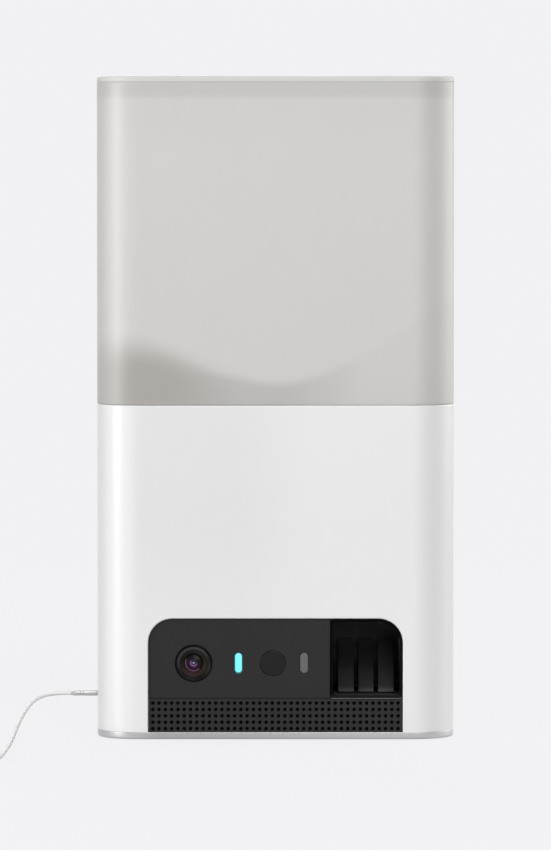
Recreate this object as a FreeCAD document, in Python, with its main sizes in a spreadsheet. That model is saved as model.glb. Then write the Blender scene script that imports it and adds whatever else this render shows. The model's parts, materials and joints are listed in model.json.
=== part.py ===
import FreeCAD, Part
import Sketcher
import math
import os
import re

# A treat tossing pet camera. Millimetres. X runs to the right as the front is looked at, Y to the
# back, Z up. The origin is on the floor under the middle of the casing.

SIZES = [
    # casing
    ("body_width", 145.0, "casing, side to side"),
    ("body_depth", 73.0, "casing, front to back"),
    ("body_height", 269.0, "floor to the top of the lid"),
    ("corner_radius", 17.0, "upright corners of the casing"),
    ("seam_height", 136.0, "floor to the joint between housing and treat container"),
    ("foot_rise", 0.5, "how far the feet lift the base"),
    ("band_height", 2.9, "base plate that shows as a metallic band"),
    ("shell_wall", 2.4, "walls of housing and container"),
    ("part_gap", 0.3, "between pieces that slip into each other"),
    ("fit_gap", 0.05, "between a pin or shaft and its hole"),
    # feet, corner posts and screws
    ("foot_radius", 5.0, ""),
    ("foot_sink", 1.0, "recess that holds a foot"),
    ("foot_inset_x", 18.5, "middle of a foot to the casing's side"),
    ("foot_inset_y", 14.5, "middle of a foot to the casing's front or rear"),
    ("post_inset", 8.5, "middle of a post to the casing's faces"),
    ("post_radius", 4.0, ""),
    ("screw_radius", 1.15, "shank of every casing screw"),
    ("screw_head_radius", 2.2, ""),
    ("screw_head_height", 1.4, ""),
    ("screw_bite", 9.0, "how far a casing screw goes into its post"),
    # front opening, fascia and speaker grille
    ("front_margin", 3.9, "front opening to the start of the rounded corner"),
    ("front_top", 49.5, "top of the front opening"),
    ("front_corner", 9.9, "rounded top corners of the opening"),
    ("front_recess", 1.0, "fascia face behind the casing face"),
    ("front_gap", 0.2, "fascia edge to the opening"),
    ("flange_depth", 1.6, "fascia behind the casing wall"),
    ("flange_reach", 1.8, "how far the flange passes the opening"),
    ("grille_top", 17.0, "seam between grille and fascia"),
    ("seam_gap", 0.1, "between grille, fascia and toss housing"),
    ("hole_radius", 0.7, "speaker perforation"),
    ("hole_pitch_x", 2.55, ""),
    ("hole_pitch_z", 2.6, ""),
    ("hole_margin", 1.67, "last perforation's middle to the grille's end"),
    ("hole_rows", 5, ""),
    ("hole_first_z", 4.7, "lowest row of the perforation"),
    # camera, lights and sensor, all on one line across the fascia
    ("eye_line", 31.3, "height of the lens, lights and sensor"),
    ("lens_share", 0.2476, "lens, as a share of the fascia's width from the left"),
    ("lens_hole_radius", 7.5, ""),
    ("bezel_wall", 1.8, ""),
    ("bezel_proud", 0.4, "bezel in front of the fascia"),
    ("barrel_wall", 1.7, ""),
    ("glass_sink", 1.8, "lens glass behind the barrel's rim"),
    ("status_share", 0.4952, "lit slot, likewise"),
    ("window_share", 0.6844, "round sensor window, likewise"),
    ("infrared_share", 0.8571, "unlit slot, likewise"),
    ("slot_radius", 1.6, "half the width of a slot"),
    ("slot_height", 8.6, ""),
    ("window_radius", 5.2, ""),
    ("insert_gap", 0.08, "glued insert to its hole"),
    ("insert_flange", 1.2, "flange of an insert, both ways"),
    ("board_thickness", 1.6, ""),
    ("board_distance", 6.9, "flange to the camera board"),
    ("board_inset", 2.4, "camera board to the fascia's left end"),
    ("board_mouth_gap", 8.2, "camera board to the toss chamber"),
    ("board_low", 19.2, ""),
    ("board_high", 47.2, ""),
    ("boss_radius", 2.6, ""),
    ("small_screw_radius", 0.9, ""),
    ("small_head_radius", 1.7, ""),
    ("small_head_height", 1.1, ""),
    ("small_bite", 4.5, "how far a small screw goes in"),
    ("sensor_half", 3.0, "sensor behind the window, half its side"),
    ("lens_chip_half", 6.0, "image chip behind the lens"),
    ("status_chip_half", 5.0, "light driver behind the lit slot"),
    ("chip_height", 1.4, ""),
    # speaker
    ("speaker_inset", 5.6, "driver to the front opening's left side"),
    ("speaker_width", 42.0, ""),
    ("speaker_top", 16.4, ""),
    ("gasket_depth", 1.0, ""),
    ("speaker_depth", 3.4, "frame of the driver"),
    ("gasket_rim", 1.8, ""),
    ("cone_rim", 2.4, "driver's rim around its cone"),
    ("cone_sink", 1.2, ""),
    ("magnet_half", 10.0, ""),
    ("magnet_depth", 6.0, ""),
    # toss chamber and paddle
    ("mouth_width", 29.2, "toss chamber, outside"),
    ("chamber_wall", 1.2, ""),
    ("hub_inset", 12.5, "paddle shaft to the casing's front"),
    ("hub_z", 21.2, "paddle shaft"),
    ("paddle_lean", 35.0, "degrees, fingers at rest behind upright"),
    ("eye_radius", 2.4, "round end of a finger"),
    ("finger_thickness", 2.0, ""),
    ("finger_length", 23.0, ""),
    ("finger_width", 6.0, ""),
    ("finger_slot", 2.1, "between two fingers"),
    ("finger_count", 3, ""),
    ("back_gap", 0.6, "fingers to the chamber's back wall"),
    ("neck_distance", 14.6, "paddle shaft to the chamber neck's inside front"),
    ("neck_low", 58.0, "where the neck starts, inside front"),
    ("roof_distance", 3.5, "paddle shaft to the end of the mouth's inside roof"),
    ("shoulder_back", 5.6, "neck front to the chamber's rear shoulder"),
    ("neck_top", 64.0, "chamber meets the drop duct"),
    ("shaft_radius", 1.5, "paddle shaft"),
    ("leg_thickness", 2.0, "legs under the chamber"),
    ("leg_depth", 8.0, ""),
    # gears
    ("gear_module", 0.8, ""),
    ("pressure_angle", 20.0, "degrees"),
    ("tooth_addendum", 0.75, "in modules"),
    ("tooth_dedendum", 1.15, "in modules"),
    ("tooth_thinning", 0.1, "backlash, off each tooth"),
    ("pinion_teeth", 12, ""),
    ("sector_teeth", 30, "teeth of the whole circle that the sector is cut from"),
    ("wheel_teeth", 24, "wheel on the feed rotor"),
    ("sector_kept", 7, "teeth on the sector"),
    ("sector_distance", 6.0, "sector's left face to the toss chamber"),
    ("gear_width", 4.0, ""),
    # motors
    ("toss_motor_radius", 8.0, ""),
    ("toss_motor_length", 26.0, ""),
    ("toss_motor_gap", 2.2, "motor's end to the sector"),
    ("motor_boss_radius", 3.0, ""),
    ("motor_boss_length", 1.4, ""),
    ("motor_shaft_radius", 1.0, ""),
    ("saddle_width", 16.0, ""),
    ("strap_thickness", 1.2, ""),
    ("strap_width", 8.0, ""),
    ("strap_ear", 6.4, ""),
    ("feed_motor_radius", 10.0, ""),
    ("feed_motor_length", 25.0, ""),
    ("motor_screw_place", 7.0, "feed motor's screws from its middle"),
    ("motor_screw_bite", 2.3, ""),
    # feed deck, drop duct and rotor
    ("deck_drop", 18.0, "underside of the feed deck to the seam"),
    ("deck_thickness", 3.0, ""),
    ("drop_left", 13.5, "drop hole"),
    ("drop_ledge", 1.5, "drop hole to the hopper's throat"),
    ("drop_half_depth", 9.0, "drop hole and duct, inside"),
    ("duct_wall", 1.4, ""),
    ("duct_inset", 0.6, "duct inside to the chamber inside"),
    ("duct_distance", 24.0, "paddle shaft to the middle of the duct's foot"),
    ("pillar_length", 9.0, "motor bracket to the feed deck"),
    ("bracket_thickness", 2.0, ""),
    ("bracket_left", -28.0, ""),
    ("bracket_right", 10.0, ""),
    ("bracket_half_depth", 17.0, ""),
    ("bracket_corner", 4.0, ""),
    ("pillar_radius", 3.0, ""),
    ("pillar_left", -24.0, ""),
    ("pillar_left_y", 11.0, ""),
    ("pillar_right", 5.5, ""),
    ("pillar_right_y", 13.5, ""),
    ("pillar_screw_bite", 2.0, "bracket screw in the feed deck"),
    ("wheel_drop", 7.0, "underside of the feed gears to the deck"),
    ("rotor_shaft_radius", 2.5, ""),
    ("rotor_gap", 0.6, "rotor to the hopper's throat"),
    ("rotor_lift", 0.3, "rotor above the deck"),
    ("rotor_height", 12.0, ""),
    ("rotor_hub_radius", 7.0, ""),
    ("vane_count", 6, ""),
    ("vane_thickness", 1.6, ""),
    # hopper
    ("throat_gap", 1.1, "hopper's throat to the housing's walls"),
    ("throat_wall", 2.0, ""),
    ("throat_height", 16.5, "deck to the start of the funnel"),
    ("funnel_slope", 0.82, "rise for each millimetre outwards"),
    ("funnel_thickness", 2.1, "measured upright"),
    ("skirt_below", 6.0, "hopper's skirt under the seam"),
    ("skirt_above", 5.5, ""),
    ("skirt_wall", 1.6, ""),
    ("guard_gap", 1.1, "rotor to the guard over the drop hole"),
    ("guard_thickness", 1.6, ""),
    ("guard_left", 9.5, ""),
    ("guard_end", 1.0, "guard's end to the throat's inside"),
    ("guard_half_depth", 12.2, ""),
    # lid and hinge
    ("lid_thickness", 2.4, ""),
    ("hinge_inset", 5.1, "hinge axis to the casing's rear"),
    ("hinge_drop", 2.2, "hinge axis under the lid's top, and the barrel's radius"),
    ("pin_radius", 1.0, ""),
    ("barrel_inset", 16.6, "barrel's end to the casing's side"),
    ("hinge_gap", 0.4, "barrel to the hinge blocks"),
    ("rail_depth", 12.5, "container's rear rail"),
    ("rail_gap", 0.6, "lid's rear edges to the rail, for the swing"),
    ("block_height", 6.0, "hinge blocks"),
    ("pin_bite", 5.0, "pin in a hinge block"),
    ("rim_depth", 3.8, "lid rim in the container"),
    ("rim_wall", 1.6, ""),
    ("rim_gap", 1.3, "rim to the container wall"),
    ("seal_height", 2.4, ""),
    # main board, set-up button, power socket and wall mount
    ("board_post_gap", 2.0, "main board to the corner post"),
    ("main_board_width", 56.0, ""),
    ("main_board_low", 12.0, ""),
    ("main_board_high", 72.0, ""),
    ("board_standoff", 8.5, "main board to the casing's rear"),
    ("boss_inset", 4.0, "boss to the edges of a board"),
    ("button_inset", 18.0, "button to the main board's left edge"),
    ("button_z", 30.0, ""),
    ("button_radius", 3.0, ""),
    ("button_sink", 0.2, "button behind the rear face"),
    ("button_flange", 1.2, ""),
    ("button_travel", 0.8, ""),
    ("switch_height", 2.4, ""),
    ("switch_half", 3.0, ""),
    ("switch_top", 0.8, "moving top of the switch"),
    ("plug_height", 16.0, "power plug and its socket"),
    ("plug_radius", 1.2, ""),
    ("plug_shown", 11.5, "plug outside the casing"),
    ("plug_depth", 9.0, "plug inside the casing's side"),
    ("plug_taper", 1.6, ""),
    ("socket_length", 10.6, ""),
    ("socket_half_width", 4.5, ""),
    ("socket_half_height", 4.0, ""),
    ("shelf_thickness", 1.6, ""),
    ("mount_half_spacing", 30.0, "wall mount inserts"),
    ("mount_height", 95.0, ""),
    ("mount_boss_radius", 4.6, ""),
    ("insert_radius", 2.8, ""),
    ("insert_bore", 1.65, ""),
    ("insert_depth", 9.0, ""),
    # power lead
    ("cord_radius", 0.8, ""),
    ("coil_x", -133.5, "middle of the coil"),
    ("coil_y", -124.2, "middle of the coil"),
    ("coil_radius", 19.2, "middle of the bundle"),
    ("coil_half_width", 4.0, ""),
    ("coil_height", 6.5, ""),
    ("coil_rounding", 2.4, ""),
    ("usb_width", 15.6, ""),
    ("usb_height", 8.0, ""),
    ("usb_length", 22.0, ""),
    ("usb_relief", 7.0, "strain relief behind the grip"),
    ("usb_shell_width", 12.0, ""),
    ("usb_shell_height", 4.5, ""),
    ("usb_shell_length", 18.0, ""),
    ("usb_shell_wall", 0.5, ""),
]

# Where the lead's run bends, from the plug to the coil. The last point is in the coil's bundle.
LEAD_ROUTE = [
    (-84.0, 0.0, 16.0),
    (-91.5, 0.0, 16.0),
    (-98.3, -6.2, 14.4),
    (-102.3, -17.0, 10.2),
    (-104.9, -31.0, 5.4),
    (-106.6, -46.0, 0.8),
    (-107.2, -75.0, 0.8),
    (-108.6, -112.0, 0.8),
    (-115.46, -130.77, 0.8),
]
# The same from the coil to the plug that goes into a charger.
TAIL_ROUTE = [
    (-152.7, -124.2, 0.8),
    (-153.1, -111.0, 0.9),
    (-152.4, -99.0, 4.0),
    (-152.4, -88.0, 4.0),
]

# Sizes and places that follow from the others.
DERIVED = {
    "post_place_x": "body_width/2-post_inset",
    "post_place_y": "body_depth/2-post_inset",
    "foot_place_x": "body_width/2-foot_inset_x",
    "foot_place_y": "body_depth/2-foot_inset_y",
    "front_half_width": "body_width/2-corner_radius-front_margin",
    "front_edge": "front_half_width-front_gap",
    "hole_columns": "floor((2*front_edge-2*hole_margin)/hole_pitch_x+0.001)+1",
    "mouth_left": "front_edge-mouth_width",
    "fascia_width": "mouth_left-seam_gap+front_edge",
    "lens_place": "fascia_width*lens_share-front_edge",
    "status_place": "fascia_width*status_share-front_edge",
    "window_place": "fascia_width*window_share-front_edge",
    "infrared_place": "fascia_width*infrared_share-front_edge",
    "board_left": "board_inset-front_edge",
    "board_right": "mouth_left-board_mouth_gap",
    "speaker_left": "speaker_inset-front_half_width",
    "speaker_right": "speaker_left+speaker_width",
    "hub_y": "hub_inset-body_depth/2",
    "neck_front": "hub_y+neck_distance",
    "throat_back": "hub_y+roof_distance",
    "duct_foot_y": "hub_y+duct_distance",
    "sector_left": "mouth_left-sector_distance",
    "toss_motor_left": "sector_left-toss_motor_gap-toss_motor_length",
    "deck_height": "seam_height-deck_drop",
    "bracket_height": "deck_height-pillar_length-bracket_thickness",
    "wheel_height": "deck_height-wheel_drop",
    "throat_top": "deck_height+deck_thickness+throat_height",
    "skirt_low": "seam_height-skirt_below",
    "skirt_high": "seam_height+skirt_above",
    "guard_low": "deck_height+deck_thickness+rotor_lift+rotor_height+guard_gap",
    "throat_radius": "body_depth/2-shell_wall-throat_wall-throat_gap",
    "rotor_radius": "throat_radius-rotor_gap",
    "drop_right": "throat_radius-drop_ledge",
    "guard_right": "throat_radius-guard_end",
    "hinge_y": "body_depth/2-hinge_inset",
    "barrel_half_length": "body_width/2-barrel_inset",
    "rail_front": "body_depth/2-rail_depth",
    "main_board_left": "board_post_gap+post_radius-post_place_x",
    "main_board_right": "main_board_left+main_board_width",
    "main_board_back": "body_depth/2-board_standoff",
    "button_x": "main_board_left+button_inset",
}

ALIASES = {name for name, _, _ in SIZES}
doc = FreeCAD.newDocument("TreatCamera")
sheet = doc.addObject("Spreadsheet::Sheet", "Sizes")
PIECES = []


def fill_sheet():
    for row, (name, number, meaning) in enumerate(SIZES, start=1):
        sheet.set("A%d" % row, meaning or name.replace("_", " "))
        sheet.set("B%d" % row, str(number))
        sheet.setAlias("B%d" % row, name)
    doc.recompute()


def formula(text):
    """A size formula in plain words, written out in sheet cells with their full address."""

    def write_out(match):
        name = match[0]
        if name in DERIVED:
            return "(" + formula(DERIVED[name]) + ")"
        return "Sizes." + name if name in ALIASES else name

    return re.sub(r"[a-z_]\w*", write_out, text)


def value(text):
    """The number that a size formula gives now."""
    return float(sheet.evalExpression(formula(text)))


# ---------------------------------------------------------------- sketches and features


def new_body(label):
    body = doc.addObject("PartDesign::Body", label)
    body.Label = label
    PIECES.append(body)
    return body


def new_sketch(body, plane, place):
    """A sketch on one of the body's origin planes, moved along the plane's axis to place."""
    sketch = body.newObject("Sketcher::SketchObject", body.Name + "_sketch")
    origin_plane = [f for f in body.Origin.OriginFeatures if f.Role == plane + "_Plane"][0]
    sketch.AttachmentSupport = (origin_plane, [""])
    sketch.MapMode = "FlatFace"
    sign = "-1*" if plane == "XZ" else ""
    sketch.setExpression("AttachmentOffset.Base.z", formula("%s(%s)" % (sign, place)))
    return sketch


def bind(sketch, kind, where, text):
    """A size constraint that follows its formula."""
    number = sketch.addConstraint(Sketcher.Constraint(kind, *where, value(text)))
    sketch.setExpression("Constraints[%d]" % number, formula(text))


def bind_point(sketch, element, end, across, up):
    bind(sketch, "DistanceX", (-1, 1, element, end), across)
    bind(sketch, "DistanceY", (-1, 1, element, end), up)


def vector(across, up):
    return FreeCAD.Vector(across, up, 0)


def circle(across, up, radius):
    def draw(sketch):
        centre = vector(value(across), value(up))
        ring = sketch.addGeometry(Part.Circle(centre, FreeCAD.Vector(0, 0, 1), value(radius)), False)
        bind_point(sketch, ring, 3, across, up)
        bind(sketch, "Radius", (ring,), radius)

    return draw


def circles(places, radius):
    def draw(sketch):
        for across, up in places:
            circle(across, up, radius)(sketch)

    return draw


def polygon(points):
    def draw(sketch):
        corners = [vector(value(a), value(b)) for a, b in points]
        lines = [
            sketch.addGeometry(Part.LineSegment(here, corners[(k + 1) % len(corners)]), False)
            for k, here in enumerate(corners)
        ]
        for k, line in enumerate(lines):
            following = lines[(k + 1) % len(lines)]
            sketch.addConstraint(Sketcher.Constraint("Coincident", line, 2, following, 1))
            bind_point(sketch, line, 1, *points[k])

    return draw


def rectangle(left, right, low, high):
    return polygon([(left, low), (right, low), (right, high), (left, high)])


def rounded(left, right, low, high, radius):
    """A rectangle with round corners: four arcs and the four lines that touch them."""

    def draw(sketch):
        size = value(radius)
        centres = [
            ("(%s)-(%s)" % (right, radius), "(%s)-(%s)" % (high, radius)),
            ("(%s)+(%s)" % (left, radius), "(%s)-(%s)" % (high, radius)),
            ("(%s)+(%s)" % (left, radius), "(%s)+(%s)" % (low, radius)),
            ("(%s)-(%s)" % (right, radius), "(%s)+(%s)" % (low, radius)),
        ]
        arcs, ends = [], []
        for k, (across, up) in enumerate(centres):
            centre = vector(value(across), value(up))
            start, stop = k * math.pi / 2, (k + 1) * math.pi / 2
            ring = Part.Circle(centre, FreeCAD.Vector(0, 0, 1), size)
            arcs.append(sketch.addGeometry(Part.ArcOfCircle(ring, start, stop), False))
            ends.append([centre + vector(size * math.cos(t), size * math.sin(t)) for t in (start, stop)])
            bind_point(sketch, arcs[-1], 3, across, up)
            bind(sketch, "Radius", (arcs[-1],), radius)
        for k in range(4):
            after = (k + 1) % 4
            line = sketch.addGeometry(Part.LineSegment(ends[k][1], ends[after][0]), False)
            sketch.addConstraint(Sketcher.Constraint("Tangent", arcs[k], 2, line, 1))
            sketch.addConstraint(Sketcher.Constraint("Tangent", line, 2, arcs[after], 1))

    return draw


def square(across, up, half):
    return rectangle(across + "-" + half, across + "+" + half, up + "-" + half, up + "+" + half)


def slot(across, up, radius, height):
    """An upright slot with round ends."""

    def draw(sketch):
        size = value(radius)
        reach = "((%s)/2-(%s))" % (height, radius)
        arcs, ends = [], []
        for sign, start in ((1, 0.0), (-1, math.pi)):
            middle = "(%s)+(%d)*%s" % (up, sign, reach)
            centre = vector(value(across), value(middle))
            ring = Part.Circle(centre, FreeCAD.Vector(0, 0, 1), size)
            arcs.append(sketch.addGeometry(Part.ArcOfCircle(ring, start, start + math.pi), False))
            side = vector(size * math.cos(start), 0)
            ends.append((centre + side, centre - side))
            bind_point(sketch, arcs[-1], 3, across, middle)
            bind(sketch, "Radius", (arcs[-1],), radius)
        for here, there in ((0, 1), (1, 0)):
            line = sketch.addGeometry(Part.LineSegment(ends[here][1], ends[there][0]), False)
            sketch.addConstraint(Sketcher.Constraint("Tangent", arcs[here], 2, line, 1))
            sketch.addConstraint(Sketcher.Constraint("Tangent", line, 2, arcs[there], 1))

    return draw


def both(*drawings):
    def draw(sketch):
        for drawing in drawings:
            drawing(sketch)

    return draw


def layer(body, plane, start, end, drawing, cut=False):
    """Adds or cuts the drawing between two places along the plane's axis, start before end."""
    sketch = new_sketch(body, plane, start)
    drawing(sketch)
    before = None
    if cut:
        doc.recompute()
        before = body.Shape.Volume
    feature = body.newObject("PartDesign::Pocket" if cut else "PartDesign::Pad", body.Name + "_layer")
    feature.Profile = sketch
    feature.setExpression("Length", formula("(%s)-(%s)" % (end, start)))
    feature.Reversed = (plane == "XZ") != cut
    if cut:
        doc.recompute()
        if not body.Shape.Volume < before - 1e-6:
            raise ValueError(body.Label + ": a cut takes nothing away")
    return feature


def turned(body, drawing):
    """Adds the drawing turned about the body's own Z."""
    sketch = new_sketch(body, "XZ", "0")
    drawing(sketch)
    feature = body.newObject("PartDesign::Revolution", body.Name + "_turn")
    feature.Profile = sketch
    feature.ReferenceAxis = (sketch, ["V_Axis"])
    feature.Angle = 360
    return feature


def round_edges(body, points, radius):
    """Rounds the edges that pass through the given points."""
    doc.recompute()
    tip = body.Tip
    names = []
    for point in points:
        spot = Part.Vertex(*[value(p) for p in point])
        gaps = [(edge.distToShape(spot)[0], k) for k, edge in enumerate(tip.Shape.Edges, start=1)]
        gap, number = min(gaps)
        if gap > 0.01:
            raise ValueError("%s: no edge at %s" % (body.Label, point))
        names.append("Edge%d" % number)
    fillet = body.newObject("PartDesign::Fillet", body.Name + "_fillet")
    fillet.Base = (tip, names)
    fillet.setExpression("Radius", formula(radius))
    return fillet


def solid_piece(label, shape):
    """A piece whose shape is worked out from the sheet in code."""
    piece = doc.addObject("Part::Feature", label)
    piece.Label = label
    piece.Shape = shape
    PIECES.append(piece)
    return piece


# ---------------------------------------------------------------- places that pieces share

FACE = "(-body_depth/2+front_recess)"
INNER_FRONT = "(-body_depth/2+shell_wall)"
FLANGE_BACK = "(-body_depth/2+shell_wall+flange_depth)"
BASE_TOP = "(foot_rise+band_height)"
DECK_TOP = "(deck_height+deck_thickness)"
LID_BOTTOM = "(body_height-lid_thickness)"
INNER_RADIUS = "(corner_radius-shell_wall)"
BOARD_FRONT = "(-body_depth/2+shell_wall+flange_depth+board_distance)"
CHAMBER_BOTTOM = "(grille_top+seam_gap)"
CHAMBER_FLOOR = "(grille_top+seam_gap+chamber_wall)"
MOTOR_Y = "(hub_y+gear_module*(pinion_teeth+sector_teeth)/2)"
MOTOR_X = "(0-gear_module*(pinion_teeth+wheel_teeth)/2)"
HINGE_Z = "(body_height-hinge_drop)"
BLOCK_LEFT = "(barrel_half_length+hinge_gap)"
CORNERS = [("%d*post_place_x" % i, "%d*post_place_y" % j) for i in (-1, 1) for j in (-1, 1)]
CAMERA_BOSSES = [
    (a, b)
    for a in ("board_left+boss_inset", "board_right-boss_inset")
    for b in ("board_low+boss_inset", "board_high-boss_inset")
]
MAIN_BOSSES = [
    (a, b)
    for a in ("main_board_left+boss_inset", "main_board_right-boss_inset")
    for b in ("main_board_low+boss_inset", "main_board_high-boss_inset")
]
MOTOR_SCREWS = [(MOTOR_X, "%d*motor_screw_place" % sign) for sign in (-1, 1)]
BRACKET_PILLARS = [
    (side, "%d*%s_y" % (sign, side)) for side in ("pillar_left", "pillar_right") for sign in (-1, 1)
]


def casing_outline(inset="0"):
    """The casing's plan outline, moved inwards by inset."""
    half_x, half_y = "(body_width/2-(%s))" % inset, "(body_depth/2-(%s))" % inset
    corner = "corner_radius-(%s)" % inset
    return rounded("0-" + half_x, half_x, "0-" + half_y, half_y, corner)


# ---------------------------------------------------------------- base


def base_plate():
    body = new_body("base_plate")
    layer(body, "XY", "foot_rise", BASE_TOP, casing_outline())
    # saddle for the toss motor
    left = "toss_motor_left+(toss_motor_length-saddle_width)/2"
    half = "(toss_motor_radius+strap_ear)"
    low, high = MOTOR_Y + "-" + half, MOTOR_Y + "+" + half
    layer(body, "XY", BASE_TOP, "hub_z-fit_gap", rectangle(left, left + "+saddle_width", low, high))
    bed = circle(MOTOR_Y, "hub_z", "toss_motor_radius+fit_gap")
    layer(body, "YZ", "toss_motor_left", "toss_motor_left+toss_motor_length", bed, cut=True)
    bites = circles(STRAP_SCREWS, "small_screw_radius+fit_gap")
    layer(body, "XY", "hub_z-small_bite-0.5", "hub_z", bites, cut=True)
    feet = circles(FEET, "foot_radius+fit_gap")
    layer(body, "XY", "foot_rise-0.1", "foot_rise+foot_sink", feet, cut=True)
    heads = circles(CORNERS, "screw_head_radius+part_gap")
    layer(body, "XY", "foot_rise-0.1", "foot_rise+screw_head_height+0.2", heads, cut=True)
    shanks = circles(CORNERS, "screw_radius+part_gap")
    layer(body, "XY", "foot_rise", BASE_TOP + "+0.1", shanks, cut=True)


def rubber_feet():
    body = new_body("rubber_feet")
    layer(body, "XY", "0", "foot_rise+foot_sink", circles(FEET, "foot_radius"))


def base_screws():
    body = new_body("base_screws")
    head_top = "foot_rise+screw_head_height+0.2"
    layer(body, "XY", "foot_rise+0.2", head_top, circles(CORNERS, "screw_head_radius"))
    layer(body, "XY", head_top, BASE_TOP + "+screw_bite", circles(CORNERS, "screw_radius"))


FEET = [("%d*foot_place_x" % i, "%d*foot_place_y" % j) for i in (-1, 1) for j in (-1, 1)]
STRAP_SCREWS = [
    ("toss_motor_left+toss_motor_length/2", MOTOR_Y + "%s(toss_motor_radius+strap_ear/2)" % sign)
    for sign in "-+"
]


# ---------------------------------------------------------------- lower housing


def lower_housing():
    body = new_body("lower_housing")
    layer(body, "XY", BASE_TOP, "seam_height", casing_outline())
    layer(body, "XY", BASE_TOP, "seam_height+1", casing_outline("shell_wall"), cut=True)
    layer(body, "XY", BASE_TOP, "deck_height", circles(CORNERS, "post_radius"))
    bites = circles(CORNERS, "screw_radius+fit_gap")
    layer(body, "XY", BASE_TOP + "-0.1", BASE_TOP + "+screw_bite+0.5", bites, cut=True)
    layer(body, "XY", "deck_height-screw_bite-0.5", "deck_height+0.1", bites, cut=True)
    front = rounded("-front_half_width", "front_half_width", "-3*front_corner", "front_top", "front_corner")
    layer(body, "XZ", "-body_depth/2-1", INNER_FRONT + "+0.5", front, cut=True)
    # left side: hole for the power plug, shelf for its socket
    plug_hole = circle("0", "plug_height", "plug_radius+part_gap")
    layer(body, "YZ", "-body_width/2-1", "-body_width/2+shell_wall+1", plug_hole, cut=True)
    shelf_top = "plug_height-socket_half_height"
    shelf = rectangle(
        "-body_width/2+shell_wall/2",
        "-body_width/2+shell_wall+socket_length",
        "-1*socket_half_width-1",
        "socket_half_width+1",
    )
    layer(body, "XY", shelf_top + "-shelf_thickness", shelf_top, shelf)
    # rear wall: set-up button hole, board bosses and wall mount bosses
    button_hole = circle("button_x", "button_z", "button_radius+part_gap")
    layer(body, "XZ", "body_depth/2-shell_wall-0.5", "body_depth/2+1", button_hole, cut=True)
    rear = "body_depth/2-shell_wall/2"
    layer(body, "XZ", "main_board_back", rear, circles(MAIN_BOSSES, "boss_radius"))
    holes = circles(MAIN_BOSSES, "small_screw_radius+fit_gap")
    layer(body, "XZ", "main_board_back-0.1", "main_board_back+small_bite+0.5", holes, cut=True)
    mounts = [("%d*mount_half_spacing" % i, "mount_height") for i in (-1, 1)]
    boss_front = "body_depth/2-insert_depth-2"
    layer(body, "XZ", boss_front, rear, circles(mounts, "mount_boss_radius"))
    bores = circles(mounts, "insert_radius+fit_gap")
    layer(body, "XZ", "body_depth/2-insert_depth", "body_depth/2+1", bores, cut=True)


def wall_mount_inserts():
    body = new_body("wall_mount_inserts")
    mounts = [("%d*mount_half_spacing" % i, "mount_height") for i in (-1, 1)]
    start, end = "body_depth/2-insert_depth", "body_depth/2-0.2"
    layer(body, "XZ", start, end, circles(mounts, "insert_radius"))
    layer(body, "XZ", start + "+1", end + "+1", circles(mounts, "insert_bore"), cut=True)


# ---------------------------------------------------------------- front


def front_fascia():
    body = new_body("front_fascia")
    right = "mouth_left-seam_gap"
    high = "front_top-front_gap"
    face = rectangle("-1*front_edge", right, CHAMBER_BOTTOM, high)
    layer(body, "XZ", FACE, INNER_FRONT, face)
    corner = ("-1*front_edge", FACE + "+0.4", high)
    round_edges(body, [corner], "front_corner-front_gap")
    wide, tall = "-front_half_width-flange_reach", "front_top+flange_reach"
    layer(body, "XZ", INNER_FRONT, FLANGE_BACK, rectangle(wide, right, CHAMBER_BOTTOM, tall))
    round_edges(body, [(wide, INNER_FRONT + "+0.4", tall)], "front_corner")
    layer(body, "XZ", FLANGE_BACK, BOARD_FRONT, circles(CAMERA_BOSSES, "boss_radius"))
    eye = both(
        circle("lens_place", "eye_line", "lens_hole_radius"),
        circle("window_place", "eye_line", "window_radius+insert_gap"),
        slot("status_place", "eye_line", "slot_radius+insert_gap", "slot_height+2*insert_gap"),
        slot("infrared_place", "eye_line", "slot_radius+insert_gap", "slot_height+2*insert_gap"),
    )
    layer(body, "XZ", FACE + "-1", FLANGE_BACK + "+0.1", eye, cut=True)
    bites = circles(CAMERA_BOSSES, "small_screw_radius+fit_gap")
    layer(body, "XZ", BOARD_FRONT + "-small_bite-0.5", BOARD_FRONT + "+0.1", bites, cut=True)


def speaker_grille():
    body = new_body("speaker_grille")
    layer(body, "XZ", FACE, INNER_FRONT, rectangle("-1*front_edge", "front_edge", BASE_TOP, "grille_top"))
    wide = "front_half_width+flange_reach"
    tabs = both(
        rectangle("-1*(" + wide + ")", "1-front_half_width", BASE_TOP, "grille_top"),
        rectangle("front_half_width-1", wide, BASE_TOP, "grille_top"),
    )
    layer(body, "XZ", INNER_FRONT, FLANGE_BACK, tabs)
    first = "-(hole_columns-1)*hole_pitch_x/2"
    corner_hole = circle(first, "hole_first_z", "hole_radius")
    hole = layer(body, "XZ", FACE + "-0.5", INNER_FRONT + "+0.1", corner_hole, cut=True)
    sketch = hole.Profile[0]
    grid = body.newObject("PartDesign::MultiTransform", "perforation")
    rows = []
    for axis, count, pitch in (("H", "hole_columns", "hole_pitch_x"), ("V", "hole_rows", "hole_pitch_z")):
        row = body.newObject("PartDesign::LinearPattern", "row_" + axis)
        row.Direction = (sketch, [axis + "_Axis"])
        row.setExpression("Occurrences", formula(count))
        row.setExpression("Length", formula("(%s-1)*%s" % (count, pitch)))
        rows.append(row)
    grid.Originals = [hole]
    grid.Transformations = rows
    body.Tip = grid


def inside_ring(rim, corner):
    """The driver's outline moved inwards by a rim."""
    left, right = "speaker_left+" + rim, "speaker_right-" + rim
    return rounded(left, right, BASE_TOP + "+" + rim, "speaker_top-" + rim, corner)


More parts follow.
